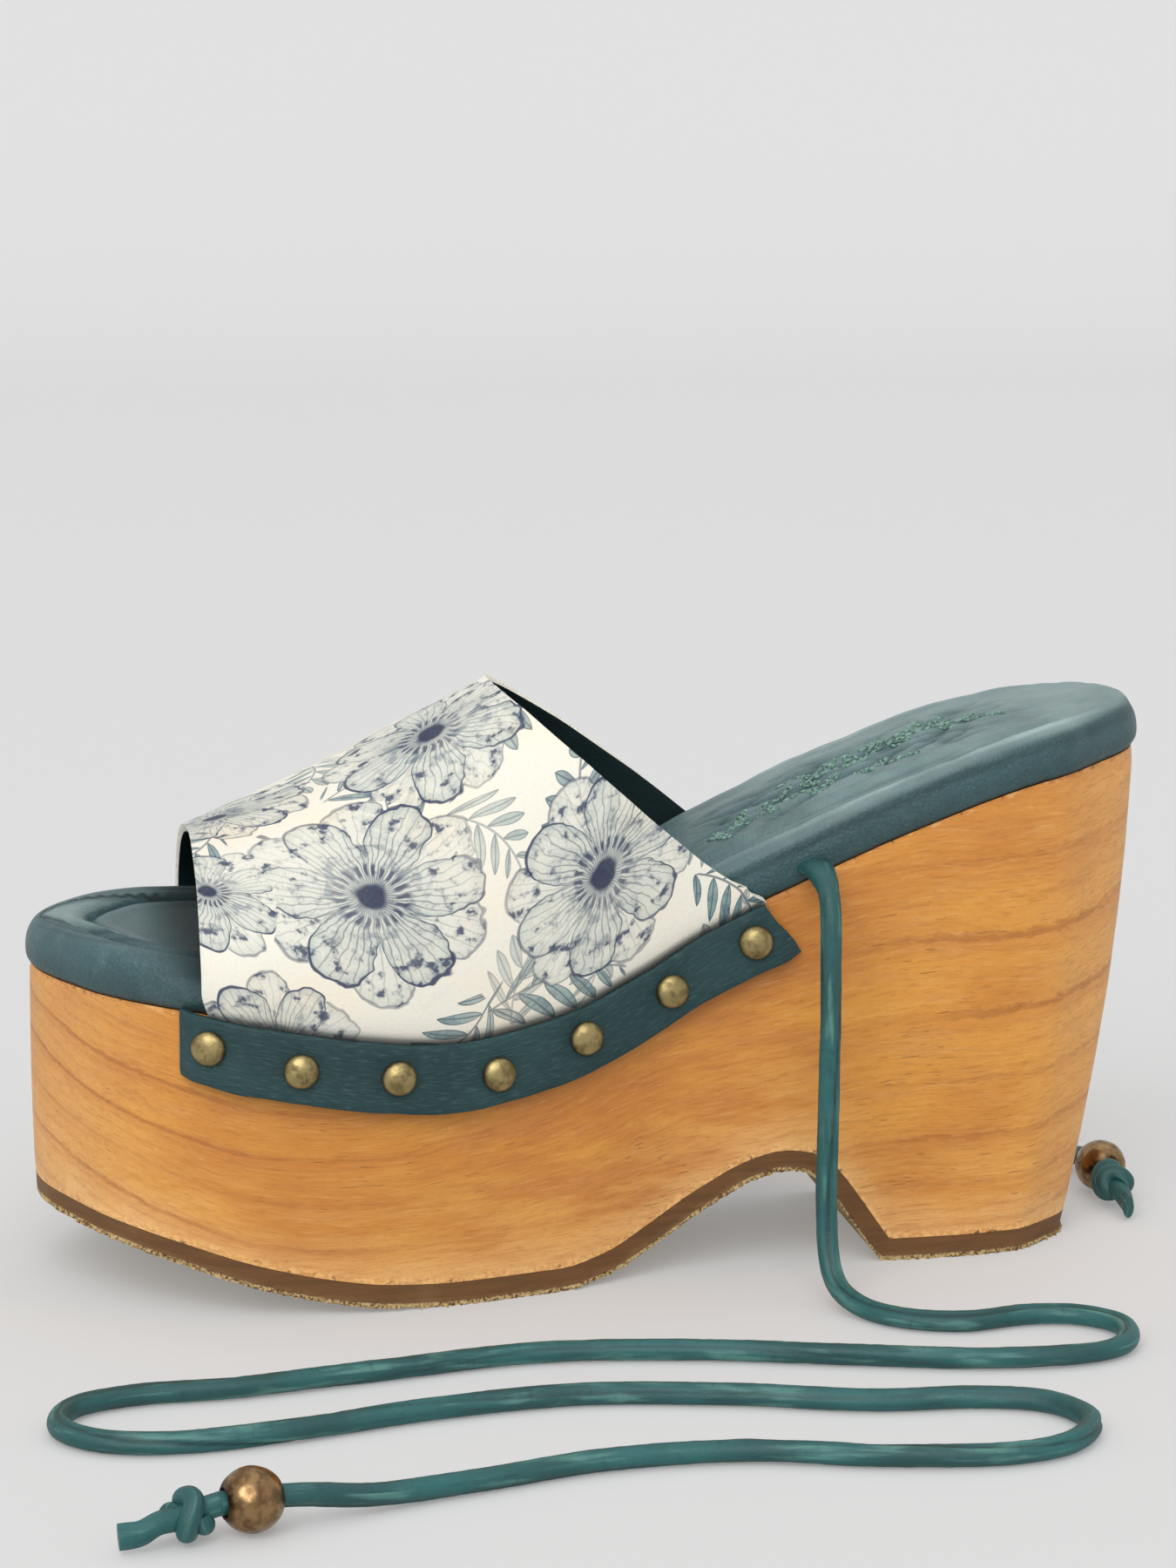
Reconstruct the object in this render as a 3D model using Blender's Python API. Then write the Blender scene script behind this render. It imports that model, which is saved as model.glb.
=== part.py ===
"""Left-foot platform clog: wooden block sole, padded footbed, open-toe band upper held by
nailed side strips, and two ankle ties with a bead and a knot at each free end.

World frame in metres: -X is the toe, +X the heel, -Y the lateral (outer) side, +Y the medial
(inner) side, +Z up. The floor is Z = 0 and the origin lies under the middle of the shoe.
The design itself is in millimetres: a station is the distance forward from the back of the heel.
"""

from bisect import bisect_right
from collections import namedtuple
from math import acos, cos, hypot, pi, radians, sin, sqrt

import bmesh
import bpy
from mathutils import Vector

MM = 0.001
WELD = 0.000001
LATERAL, MEDIAL = -1, 1
SIDES = {LATERAL: "lateral", MEDIAL: "medial"}

# ---------------------------------------------------------------- driving sizes, millimetres
LENGTH = 246.8          # wooden sole, heel back to toe
SIDE_SHIFT = 1.05       # brings the middle of the shoe's box over the origin
GAP = 0.3               # clearance between neighbouring pieces

HEEL_FRONT = 62.6       # where the heel's front edge meets the floor
HEEL_UNDERCUT = 9.8     # how far the back of the heel slopes forward on its way down
HEEL_HOLLOW = 1.7       # exponent of that slope: 1 is straight
SIDE_BELLY = 0.6        # slight swelling of the wooden side at half height

FOOTBED_OVERHANG = 1.3
FOOTBED_HEIGHT = 11.2
FOOTBED_DRAWN_IN = 2.6  # how far its top draws in at the toe and at the heel
FOOTBED_END = 22.0      # length of the rounding at either end

UPPER_WALL = 1.8        # leather with its lining
UPPER_FRONT = 211.0     # station of the toe opening's edge
THROAT_LOW = 90.5       # station of the throat edge where it meets the wood
THROAT_RIM = {LATERAL: 94.8, MEDIAL: 91.0}  # the same at the height of the footbed's rim
THROAT_CROWN = 145.0    # the same over the instep
THROAT_SWEEP = {LATERAL: 0.81, MEDIAL: 0.92}  # the smaller, the sooner the edge runs forward
UPPER_ROUNDNESS = 2.2   # cross section's exponent across the foot
UPPER_FULLNESS = 2.05   # cross section's exponent upwards
INSTEP_SHIFT = 1.6      # the instep's ridge lies this far to the medial side

STRIP_WALL = 1.6
STRIP_DROP = 0.0        # top edge below the top of the wood
STRIP_WIDTH = 14.5
STRIP_NARROWING = 1.5   # narrower by this at the toe end, from the next station on
STRIP_NARROWS_FROM = 203.0
STRIP_FRONT = 216.0
STRIP_BACK_TOP = 91.0
STRIP_BACK_LOW = 83.0
STRIP_FRONT_TURN = 4.2  # length over which the strip settles onto the wood in front of the upper
STRIP_BACK_TURN = 5.5   # the same behind the upper

NAIL_RADIUS = 3.7
NAIL_RISE = 2.4
NAIL_GAP = 0.4          # under a flat head on the slightly curved strip

TIE_THICK = 4.5
BEAD_RADIUS = 6.0
BEAD_STEPS = 8
KNOT_TILT = 10.0        # degrees that the knot and its tail dip towards the floor

# ---------------------------------------------------------------- section tables
Plan = namedtuple("Plan", "station centre half_width")
PLAN = (
    Plan(0, 0.0, 0.0),
    Plan(4, 0.0, 15.2),
    Plan(12, 0.2, 22.7),
    Plan(25, 0.0, 29.8),
    Plan(45, 0.0, 31.8),
    Plan(75, 0.5, 32.2),
    Plan(105, 0.6, 30.4),
    Plan(135, 0.0, 36.8),
    Plan(160, -0.1, 42.4),
    Plan(180, 0.4, 45.0),
    Plan(200, 1.8, 45.3),
    Plan(218, 3.0, 39.6),
    Plan(232, 3.9, 30.0),
    Plan(241, 4.9, 17.9),
    Plan(LENGTH, 5.3, 0.0),
)

Wood = namedtuple("Wood", "station top floor_taper")
WOOD = (
    Wood(0, 112.3, 4.7),
    Wood(30, 106.7, 4.7),
    Wood(60, 96.6, 4.7),
    Wood(90, 83.5, 4.2),
    Wood(105, 76.4, 2.6),
    Wood(120, 68.8, 1.4),
    Wood(140, 61.4, 0.8),
    Wood(162, 58.3, 0.8),
    Wood(180, 60.0, 0.8),
    Wood(210, 65.0, 0.8),
    Wood(LENGTH, 68.1, 0.8),
)

Tread = namedtuple("Tread", "station underside thickness")
TREAD = (
    Tread(HEEL_FRONT, 0.0, 4.9),
    Tread(66.5, 5.0, 4.6),
    Tread(72.6, 13.8, 4.6),
    Tread(77, 19.3, 4.6),
    Tread(81, 21.7, 4.6),
    Tread(85, 22.1, 4.6),
    Tread(91, 20.6, 4.6),
    Tread(101, 15.3, 4.7),
    Tread(112, 8.5, 4.8),
    Tread(124, 2.5, 4.9),
    Tread(136, 0.0, 5.0),
    Tread(158, 0.0, 5.0),
    Tread(174, 0.8, 5.0),
    Tread(190, 3.3, 4.9),
    Tread(206, 7.4, 4.7),
    Tread(222, 11.8, 4.4),
    Tread(238, 15.4, 4.2),
    Tread(LENGTH, 16.8, 4.2),
)
TREAD_FLAT = (136, 147, 158)
TREAD_STATIONS = (
    66.5, 69.7, 73, 76, 79, 82, 85.5, 89.5, 94, 99, 105, 111, 118, 126, *TREAD_FLAT,
    168, 178, 188, 198, 208, 217, 225, 232, 237.5, 241.5, 244, LENGTH,
)
HEEL_STATIONS = (0, 0.8, 3, 7, 13, 21, 32, 46, HEEL_FRONT)

Crown = namedtuple("Crown", "station height")
CROWN = (
    Crown(93, 169.0),
    Crown(110, 153.8),
    Crown(130, 138.6),
    Crown(150, 125.9),
    Crown(170, 116.0),
    Crown(190, 106.0),
    Crown(212, 95.6),
)

# Cross section of the footbed from its underside, round the rolled rim, to its middle.
Rim = namedtuple("Rim", "out height")
FOOTBED_RIM = (
    Rim(-0.6, GAP),
    Rim(0.6, 1.4),
    Rim(1.1, 3.4),
    Rim(FOOTBED_OVERHANG, 5.8),
    Rim(0.9, 8.3),
    Rim(-0.9, 10.4),
    Rim(-3.7, FOOTBED_HEIGHT),
    Rim(-8.0, 10.8),
    Rim(-12.0, 9.8),
    Rim(-20.0, 9.5),
)
FOOTBED_STATIONS = (
    0, 0.8, 3, 7, 13, 21, 32, 46, 62, 78, 92, 104, 116, 128, 140, 152, 166, 180, 194,
    207, 217, 225, 232, 237.5, 241.5, 244, LENGTH,
)

# Lower hem of the upper, inside face: height from the top of the wood, and distance outwards.
Hem = namedtuple("Hem", "height out")
UPPER_HEM = (Hem(-12.2, GAP), Hem(-5.0, GAP), Hem(0.0, 0.35), Hem(1.4, 1.1), Hem(3.4, 1.9))
UPPER_SPRING = Hem(5.7, 2.2)
UPPER_ROWS = 18
UPPER_ARCH_STEPS = 22

STRIP_STEPS = 24

# Nails as they were hammered in, slightly uneven: station, and depth below the top of the wood.
Nail = namedtuple("Nail", "station drop")
NAILS = (
    Nail(92.9, 7.0), Nail(112.6, 7.2), Nail(132.5, 6.5), Nail(151.9, 7.8), Nail(172.8, 6.8),
    Nail(192.4, 7.4), Nail(209.6, 5.5),
)

# Free ends of the ties, millimetres in the world frame, from the seam under the footbed to the
# knot. Each leaves the shoe squarely, drops to the floor and lies there in loose bends.
TIE_ROUTES = {
    LATERAL: (
        (43.5, -33.9, 90.6), (43.5, -39.5, 90.4), (43.5, -46.2, 87.6), (43.4, -49.4, 80.0),
        (43.2, -50.4, 64.0), (42.8, -51.0, 40.0), (42.4, -52.2, 18.0), (42.8, -57.0, 6.5),
        (46.0, -66.0, 2.9), (54.0, -75.0, 2.4), (66.0, -79.0, 2.4), (79.0, -77.0, 2.4),
        (90.0, -79.0, 2.4), (97.0, -87.0, 2.4), (94.0, -98.0, 2.4), (83.0, -103.0, 2.4),
        (62.0, -102.0, 2.4), (36.0, -95.0, 2.4), (7.0, -87.0, 2.4), (-25.0, -83.0, 2.4),
        (-57.0, -88.0, 2.4), (-86.0, -93.0, 2.4), (-106.0, -94.0, 2.4), (-119.0, -99.0, 2.4),
        (-122.0, -110.0, 2.4), (-114.0, -119.0, 2.4), (-99.0, -122.0, 2.4), (-78.0, -119.0, 2.4),
        (-50.0, -112.0, 2.4), (-21.0, -109.0, 2.4), (8.0, -114.0, 2.4), (34.0, -122.0, 2.4),
        (55.0, -124.0, 2.4), (68.0, -129.0, 2.4), (73.0, -140.0, 2.4), (66.0, -151.0, 2.4),
        (52.0, -155.0, 2.4), (30.0, -152.0, 2.4), (4.0, -145.0, 2.4), (-22.0, -145.0, 2.4),
        (-46.0, -151.0, 2.4), (-66.0, -157.0, 3.2), (-80.0, -161.0, 5.6), (-88.0, -163.0, 6.3),
        (-96.0, -165.0, 6.4),
    ),
    MEDIAL: (
        (43.5, 33.0, 90.6), (43.5, 38.2, 90.4), (43.5, 44.2, 87.6), (43.4, 47.4, 80.0),
        (43.2, 48.4, 64.0), (42.8, 49.0, 40.0), (42.4, 50.2, 18.0), (41.4, 55.0, 6.5),
        (36.0, 63.0, 3.0), (22.0, 69.0, 2.4), (-4.0, 68.0, 2.4), (-34.0, 64.0, 2.4),
        (-62.0, 64.0, 2.4), (-76.0, 69.0, 2.4), (-80.0, 80.0, 2.4), (-72.0, 90.0, 2.4),
        (-56.0, 92.0, 2.4), (-30.0, 87.0, 2.4), (2.0, 84.0, 2.4), (34.0, 86.0, 2.4),
        (53.0, 90.0, 2.4), (61.0, 100.0, 2.4), (55.0, 111.0, 2.4), (40.0, 114.0, 2.4),
        (16.0, 110.0, 2.4), (-16.0, 106.0, 2.4), (-48.0, 108.0, 2.4), (-66.0, 112.0, 2.4),
        (-73.0, 123.0, 2.4), (-65.0, 133.0, 2.4), (-48.0, 136.0, 2.4), (-20.0, 132.0, 2.4),
        (14.0, 130.0, 2.4), (48.0, 131.0, 2.4), (76.0, 126.0, 2.4), (95.0, 114.0, 2.4),
        (105.0, 95.0, 2.4), (111.0, 73.0, 2.4), (118.0, 53.0, 2.4), (124.0, 38.0, 3.0),
        (126.0, 25.0, 5.6), (125.8, 17.0, 6.3), (125.2, 9.0, 6.4),
    ),
}
TIE_POINT_SPACING = 2.5 * TIE_THICK


# ---------------------------------------------------------------- curves and the last's shape
def curve_through(xs, ys):
    """A smooth function through the points (xs, ys) that never overshoots them."""
    steps = [(y1 - y0) / (x1 - x0) for x0, x1, y0, y1 in zip(xs, xs[1:], ys, ys[1:])]
    inner = [0.0 if a * b <= 0 else 2 * a * b / (a + b) for a, b in zip(steps, steps[1:])]
    slopes = [steps[0], *inner, steps[-1]]

    def value(x):
        x = min(max(x, xs[0]), xs[-1])
        i = min(bisect_right(xs, x), len(xs) - 1) - 1
        width = xs[i + 1] - xs[i]
        t = (x - xs[i]) / width
        rise = ys[i + 1] - ys[i]
        blend = t * t * (3 - 2 * t)
        bend = slopes[i] * t * (1 - t) ** 2 - slopes[i + 1] * t * t * (1 - t)
        return ys[i] + rise * blend + width * bend

    return value


def column(table, name):
    """The smooth curve of one named column of a table against its stations."""
    return curve_through([row.station for row in table], [getattr(row, name) for row in table])


centre_line = column(PLAN, "centre")
half_width_squared = curve_through([p.station for p in PLAN], [p.half_width**2 for p in PLAN])
wood_top = column(WOOD, "top")
floor_taper = column(WOOD, "floor_taper")
tread_underside = column(TREAD, "underside")
tread_thickness = column(TREAD, "thickness")
crown_height = column(CROWN, "height")


def smooth_step(x):
    x = min(max(x, 0.0), 1.0)
    return x * x * (3 - 2 * x)


def outward(station, side):
    """Unit vector in plan, (along stations, across), square to the outline and out of it."""
    step = 0.01
    half = sqrt(half_width_squared(station))
    half_slope = (half_width_squared(station + step) - half_width_squared(station - step)) / (4 * step)
    lean = (centre_line(station + step) - centre_line(station - step)) / (2 * step)
    return Vector((-(side * lean * half + half_slope), side * half)).normalized()


def side_point(station, side, out=0.0):
    """Plan point on the outline, moved `out` millimetres squarely outwards."""
    half = sqrt(half_width_squared(station))
    return Vector((station, centre_line(station) + side * half)) + out * outward(station, side)


def world(station, across, height):
    """World point in metres of a point given by station, distance across and height."""
    return Vector((LENGTH / 2 - station, across - SIDE_SHIFT, height)) * MM


def wall_point(station, side, height, out=0.0):
    """(station, across, height) on the wooden side, which tapers towards the floor."""
    top = wood_top(station)
    depth = max((top - height) / top, 0.0)
    inset = floor_taper(station) * depth**1.2 - SIDE_BELLY * sin(pi * depth)
    plan = side_point(station, side, out - inset)
    forward = HEEL_UNDERCUT * max(1 - station / HEEL_FRONT, 0.0) * depth**HEEL_HOLLOW
    return plan.x + forward, plan.y, height


def sheet_profile(share, extra=0.0):
    """(station, height) along the sole from heel to toe, raised squarely off the tread's
    underside by a share of the tread's thickness plus extra millimetres."""
    path = [(s, 0.0) for s in HEEL_STATIONS] + [(s, tread_underside(s)) for s in TREAD_STATIONS]
    raised = []
    for i, (s, z) in enumerate(path):
        before = path[max(i - 1, 0)]
        after = path[min(i + 1, len(path) - 1)]
        normals = []
        for (s0, z0), (s1, z1) in ((before, (s, z)), ((s, z), after)):
            run = hypot(s1 - s0, z1 - z0)
            if run:
                normals.append(Vector((-(z1 - z0) / run, (s1 - s0) / run)))
        mean = sum(normals, Vector((0, 0))).normalized()
        reach = (share * tread_thickness(s) + extra) / mean.dot(normals[0])
        raised.append((min(s + reach * mean.x, LENGTH), z + reach * mean.y))
    return raised


# ---------------------------------------------------------------- mesh helpers
def ring(stations, place):
    """Closed ring of points: lateral side from heel to toe, then medial side back."""
    lateral = [place(s, LATERAL) for s in stations]
    medial = [place(s, MEDIAL) for s in stations[-2:0:-1]]
    return lateral + medial


def stacked(rings):
    """Closed mesh of equal rings from bottom to top, with rungs across both end rings."""
    bm = bmesh.new()
    rows = [[bm.verts.new(point) for point in points] for points in rings]
    count = len(rows[0])
    for low, high in zip(rows, rows[1:]):
        for i in range(count):
            j = (i + 1) % count
            bm.faces.new((low[i], low[j], high[j], high[i]))
    for row in (rows[0], rows[-1]):
        for i in range(count // 2):
            corners = (row[i], row[i + 1], row[-i - 1], row[-i])
            bm.faces.new(dict.fromkeys(corners))
    return bm


def sheet(rows):
    """Open mesh through a grid of points, rows by columns."""
    bm = bmesh.new()
    grid = [[bm.verts.new(point) for point in row] for row in rows]
    for low, high in zip(grid, grid[1:]):
        for i in range(len(low) - 1):
            bm.faces.new((low[i], high[i], high[i + 1], low[i + 1]))
    return bm


def turned(profile, segments):
    """Closed mesh turned about Z from (radius, height) points, in millimetres."""
    bm = bmesh.new()
    verts = [bm.verts.new((r * MM, 0, h * MM)) for r, h in profile]
    edges = [bm.edges.new(pair) for pair in zip(verts, verts[1:])]
    if profile[0][0] and profile[-1][0]:
        edges.append(bm.edges.new((verts[-1], verts[0])))
    bmesh.ops.spin(
        bm, geom=verts + edges, cent=(0, 0, 0), axis=(0, 0, 1), angle=2 * pi,
        steps=segments, use_merge=True, use_duplicate=False,
    )
    return bm


def add_object(name, data, material):
    data.materials.append(material)
    obj = bpy.data.objects.new(name, data)
    bpy.context.scene.collection.objects.link(obj)
    return obj


def finished_mesh(name, bm, closed=True):
    """Mesh data with doubled points welded, shaded smooth except along real corners."""
    bmesh.ops.remove_doubles(bm, verts=bm.verts, dist=WELD)
    if closed:
        bmesh.ops.recalc_face_normals(bm, faces=bm.faces)
    mesh = bpy.data.meshes.new(name)
    bm.to_mesh(mesh)
    bm.free()
    mesh.shade_smooth()
    mesh.set_sharp_from_angle(angle=radians(35))
    return mesh


def add_wall(obj, thickness):
    """Gives a sheet its thickness on the side that its faces point to."""
    wall = obj.modifiers.new("wall", "SOLIDIFY")
    wall.thickness = thickness * MM
    wall.offset = 1.0
    wall.use_even_offset = True
    return obj


def finish(name, colour, roughness, metallic=0.0):
    material = bpy.data.materials.new(name)
    material.use_nodes = True
    shader = material.node_tree.nodes["Principled BSDF"]
    shader.inputs["Base Color"].default_value = (*colour, 1.0)
    shader.inputs["Roughness"].default_value = roughness
    shader.inputs["Metallic"].default_value = metallic
    return material


# ---------------------------------------------------------------- pieces
def wood_block():
    """Platform and heel in one piece of wood, seated on the tread."""
    under = sheet_profile(1, GAP)
    heights = dict(under)
    stations = [s for s, _ in under]

    def level(share):
        def place(s, side):
            height = heights[s] + share * (wood_top(s) - heights[s])
            return world(*wall_point(s, side, height))

        return ring(stations, place)

    bm = stacked([level(share) for share in (0, 0.1, 0.3, 0.55, 0.8, 1)])
    return add_object(
        "wood_block", finished_mesh("wood_block", bm), finish("wood", (0.62, 0.31, 0.10), 0.45)
    )


def outsole():
    """Tread sheet bent along the forefoot, the arch, the front of the heel and the heel seat."""

    def face(profile):
        heights = dict(profile)
        return ring([s for s, _ in profile], lambda s, side: world(*wall_point(s, side, heights[s])))

    bm = stacked([face(sheet_profile(0)), face(sheet_profile(1))])
    return add_object(
        "outsole", finished_mesh("outsole", bm), finish("tread", (0.13, 0.07, 0.035), 0.75)
    )


def footbed():
    """Padded footbed wrapped in leather, with a rolled rim that stands proud of the wood."""

    def level(rim):
        def place(s, side):
            end = smooth_step(1 - min(s, LENGTH - s) / FOOTBED_END)
            drawn_in = FOOTBED_DRAWN_IN * end * (rim.height / FOOTBED_HEIGHT) ** 2
            station, across = side_point(s, side, rim.out - drawn_in)
            return world(station, across, wood_top(station) + rim.height)

        return ring(FOOTBED_STATIONS, place)

    bm = stacked([level(rim) for rim in FOOTBED_RIM])
    return add_object(
        "footbed", finished_mesh("footbed", bm), finish("footbed leather", (0.035, 0.085, 0.09), 0.5)
    )


def upper_section(station, turn):
    """Inside face of the upper over the foot: turn runs from 0, lateral, to pi, medial."""
    side = LATERAL if turn < pi / 2 else MEDIAL
    across_share = abs(cos(turn)) ** (2 / UPPER_ROUNDNESS)
    rise_share = sin(turn) ** (2 / UPPER_FULLNESS)
    foot = side_point(station, side, UPPER_SPRING.out)
    crown = Vector((station, centre_line(station) + INSTEP_SHIFT))
    plan = crown.lerp(foot, across_share)
    spring = wood_top(station) + UPPER_SPRING.height
    height = spring + rise_share * (crown_height(station) - UPPER_WALL - spring)
    return world(plan.x, plan.y, height)


def upper():
    """Wide leather band over the foot, open at the toe, at the throat and underneath."""
    rows = []

    def hem_column(side, hem):
        rim = THROAT_RIM[side]
        back = THROAT_LOW + (rim - THROAT_LOW) * smooth_step(hem.height / UPPER_SPRING.height)
        points = []
        for row in range(UPPER_ROWS + 1):
            s = back + (UPPER_FRONT - back) * row / UPPER_ROWS
            height = wood_top(s) + hem.height
            points.append(world(*wall_point(s, side, height, hem.out)))
        return points

    def arch_column(turn):
        side = LATERAL if turn < pi / 2 else MEDIAL
        rise = max(sin(turn), 0.0) ** THROAT_SWEEP[side]
        back = THROAT_RIM[side] + (THROAT_CROWN - THROAT_RIM[side]) * rise
        return [
            upper_section(back + (UPPER_FRONT - back) * row / UPPER_ROWS, turn)
            for row in range(UPPER_ROWS + 1)
        ]

    rows += [hem_column(LATERAL, hem) for hem in UPPER_HEM]
    rows += [arch_column(pi * i / UPPER_ARCH_STEPS) for i in range(UPPER_ARCH_STEPS + 1)]
    rows += [hem_column(MEDIAL, hem) for hem in reversed(UPPER_HEM)]
    band = add_object(
        "upper",
        finished_mesh("upper", sheet(rows), closed=False),
        finish("printed leather", (0.80, 0.76, 0.66), 0.6),
    )
    return add_wall(band, UPPER_WALL)


def strip_lift(station):
    """How far the strip's inside face stands off the wood, with the upper's hem under it."""
    behind = (station - STRIP_BACK_LOW) / STRIP_BACK_TURN
    ahead = (STRIP_FRONT - station) / STRIP_FRONT_TURN
    return GAP + (UPPER_WALL + 2 * GAP) * smooth_step(min(behind, ahead))


def strip_point(share_along, share_down, side, out=0.0):
    """World point on the strip's inside face, moved `out` millimetres outwards."""
    back = STRIP_BACK_TOP + (STRIP_BACK_LOW - STRIP_BACK_TOP) * share_down
    station = back + (STRIP_FRONT - back) * share_along
    narrowed = (station - STRIP_NARROWS_FROM) / (STRIP_FRONT - STRIP_NARROWS_FROM)
    width = STRIP_WIDTH - STRIP_NARROWING * smooth_step(narrowed)
    height = wood_top(station) - STRIP_DROP - width * share_down
    return world(*wall_point(station, side, height, strip_lift(station) + out))


def side_strip(side):
    """Leather strip that clamps the hem of the upper to the wood."""
    downs = (0, 1 / 3, 2 / 3, 1)
    settles = 1 - STRIP_FRONT_TURN / (STRIP_FRONT - STRIP_BACK_LOW)
    alongs = [settles * i / STRIP_STEPS for i in range(STRIP_STEPS + 1)] + [1.0]
    rows = [[strip_point(along, down, side) for down in downs] for along in alongs]
    if side == MEDIAL:
        rows.reverse()
    name = f"strip_{SIDES[side]}"
    strip = add_object(
        name,
        finished_mesh(name, sheet(rows), closed=False),
        finish(f"strip leather {SIDES[side]}", (0.03, 0.075, 0.08), 0.6),
    )
    return add_wall(strip, STRIP_WALL)


def nails(side, dome):
    """Domed nails along a strip, each seated on its face."""
    for number, (station, drop) in enumerate(NAILS, start=1):
        name = f"nail_{SIDES[side]}_{number}"
        out = strip_lift(station) + STRIP_WALL + NAIL_GAP
        seat = world(*wall_point(station, side, wood_top(station) - drop, out))
        along, across = outward(station, side)
        nail = bpy.data.objects.new(name, dome)
        nail.location = seat
        nail.rotation_euler = Vector((-along, across, 0)).to_track_quat("Z", "Y").to_euler()
        bpy.context.scene.collection.objects.link(nail)


def nail_dome():
    """Shared mesh of a nail's domed head, flat underneath."""
    arc = [(NAIL_RADIUS * cos(t), NAIL_RISE * sin(t)) for t in (0, 0.45, 0.95)]
    mesh = finished_mesh("nail_dome", turned([(0, 0), *arc, (0, NAIL_RISE)], 12))
    mesh.materials.append(finish("brass", (0.36, 0.29, 0.14), 0.35, 1.0))
    return mesh


def smooth_route(points, spacing):
    """Equally spaced points, about `spacing` apart, on a smooth curve through the points."""
    knots = [Vector(p) for p in points]
    knots = [2 * knots[0] - knots[1], *knots, 2 * knots[-1] - knots[-2]]
    fine = []
    for p0, p1, p2, p3 in zip(knots, knots[1:], knots[2:], knots[3:]):
        for i in range(20):
            t = i / 20
            bend = (2 * p0 - 5 * p1 + 4 * p2 - p3) * t * t + (3 * (p1 - p2) + p3 - p0) * t**3
            fine.append(p1 + ((p2 - p0) * t + bend) / 2)
    fine.append(knots[-2])
    run = [0.0]
    for a, b in zip(fine, fine[1:]):
        run.append(run[-1] + (b - a).length)
    count = round(run[-1] / spacing)
    spaced = []
    for n in range(count + 1):
        goal = run[-1] * n / count
        i = min(bisect_right(run, goal), len(run) - 1)
        spaced.append(fine[i - 1].lerp(fine[i], (goal - run[i - 1]) / (run[i] - run[i - 1])))
    return spaced


def tie(side, leather):
    """Ankle tie from the seam under the footbed to its knot, through the bead."""
    name = f"tie_{SIDES[side]}"
    curve = bpy.data.curves.new(name, "CURVE")
    curve.dimensions = "3D"
    curve.bevel_depth = TIE_THICK / 2 * MM
    curve.bevel_resolution = 2
    curve.use_fill_caps = True
    spline = curve.splines.new("POLY")
    points = smooth_route(TIE_ROUTES[side], TIE_POINT_SPACING)
    spline.points.add(len(points) - 1)
    for target, point in zip(spline.points, points):
        target.co = (*(point * MM), 1.0)
    add_object(name, curve, leather)
    return points


def along_axis(obj, start, direction):
    """Sets an object's origin at `start`, in millimetres, and its Z axis along `direction`."""
    obj.location = start * MM
    obj.rotation_euler = direction.to_track_quat("Z", "Y").to_euler()


def bead(side, points, metal):
    """Round bead bored for the tie, just short of the knot."""
    name = f"bead_{SIDES[side]}"
    limit = acos((TIE_THICK / 2 + GAP) / BEAD_RADIUS)
    angles = [limit * (2 * i / BEAD_STEPS - 1) for i in range(BEAD_STEPS + 1)]
    arc = [(BEAD_RADIUS * cos(a), BEAD_RADIUS * sin(a)) for a in angles]
    obj = add_object(name, finished_mesh(name, turned(arc, 14)), metal)
    heading = (points[-1] - points[-2]).normalized()
    along_axis(obj, points[-1] - heading * (BEAD_RADIUS + GAP), heading)


def knot(side, points, leather):
    """Overhand knot that stops the bead, with its short cut tail."""
    name = f"knot_{SIDES[side]}"
    profile = (
        (0, 0), (2.6, 0), (4.4, 1.6), (5.2, 4.4), (4.8, 7.6), (3.0, 9.8), (2.3, 11.6),
        (2.2, 18.0), (0, 18.0),
    )
    obj = add_object(name, finished_mesh(name, turned(profile, 10)), leather)
    heading = (points[-1] - points[-2]).normalized()
    heading.z = -sin(radians(KNOT_TILT))
    clear = GAP + TIE_THICK / 2 * sin(radians(KNOT_TILT))
    along_axis(obj, points[-1] + heading * clear, heading.normalized())


def main():
    for obj in list(bpy.data.objects):
        bpy.data.objects.remove(obj)
    wood_block()
    outsole()
    footbed()
    upper()
    dome = nail_dome()
    for side in SIDES:
        side_strip(side)
        nails(side, dome)
        leather = finish(f"tie leather {SIDES[side]}", (0.03, 0.13, 0.12), 0.45)
        metal = finish(f"bronze {SIDES[side]}", (0.30, 0.21, 0.11), 0.25, 1.0)
        points = tie(side, leather)
        bead(side, points, metal)
        knot(side, points, leather)


main()
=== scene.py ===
"""Left-foot platform clog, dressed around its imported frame: stained wooden platform, padded leather
footbed, printed open-toe band, brass-nailed side strips and two beaded ankle ties.

World frame in metres: -X is the toe, +X the heel, -Y the lateral side, +Y the medial side, +Z up,
and the floor is Z = 0. The design is in millimetres: a station is the distance forward from the
back of the heel.
"""

from bisect import bisect_right
from collections import namedtuple
from itertools import accumulate
from math import acos, ceil, cos, exp, hypot, pi, radians, sin, sqrt

import bmesh
import bpy
from mathutils import Matrix, Vector, noise
from mathutils.bvhtree import BVHTree

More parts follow.
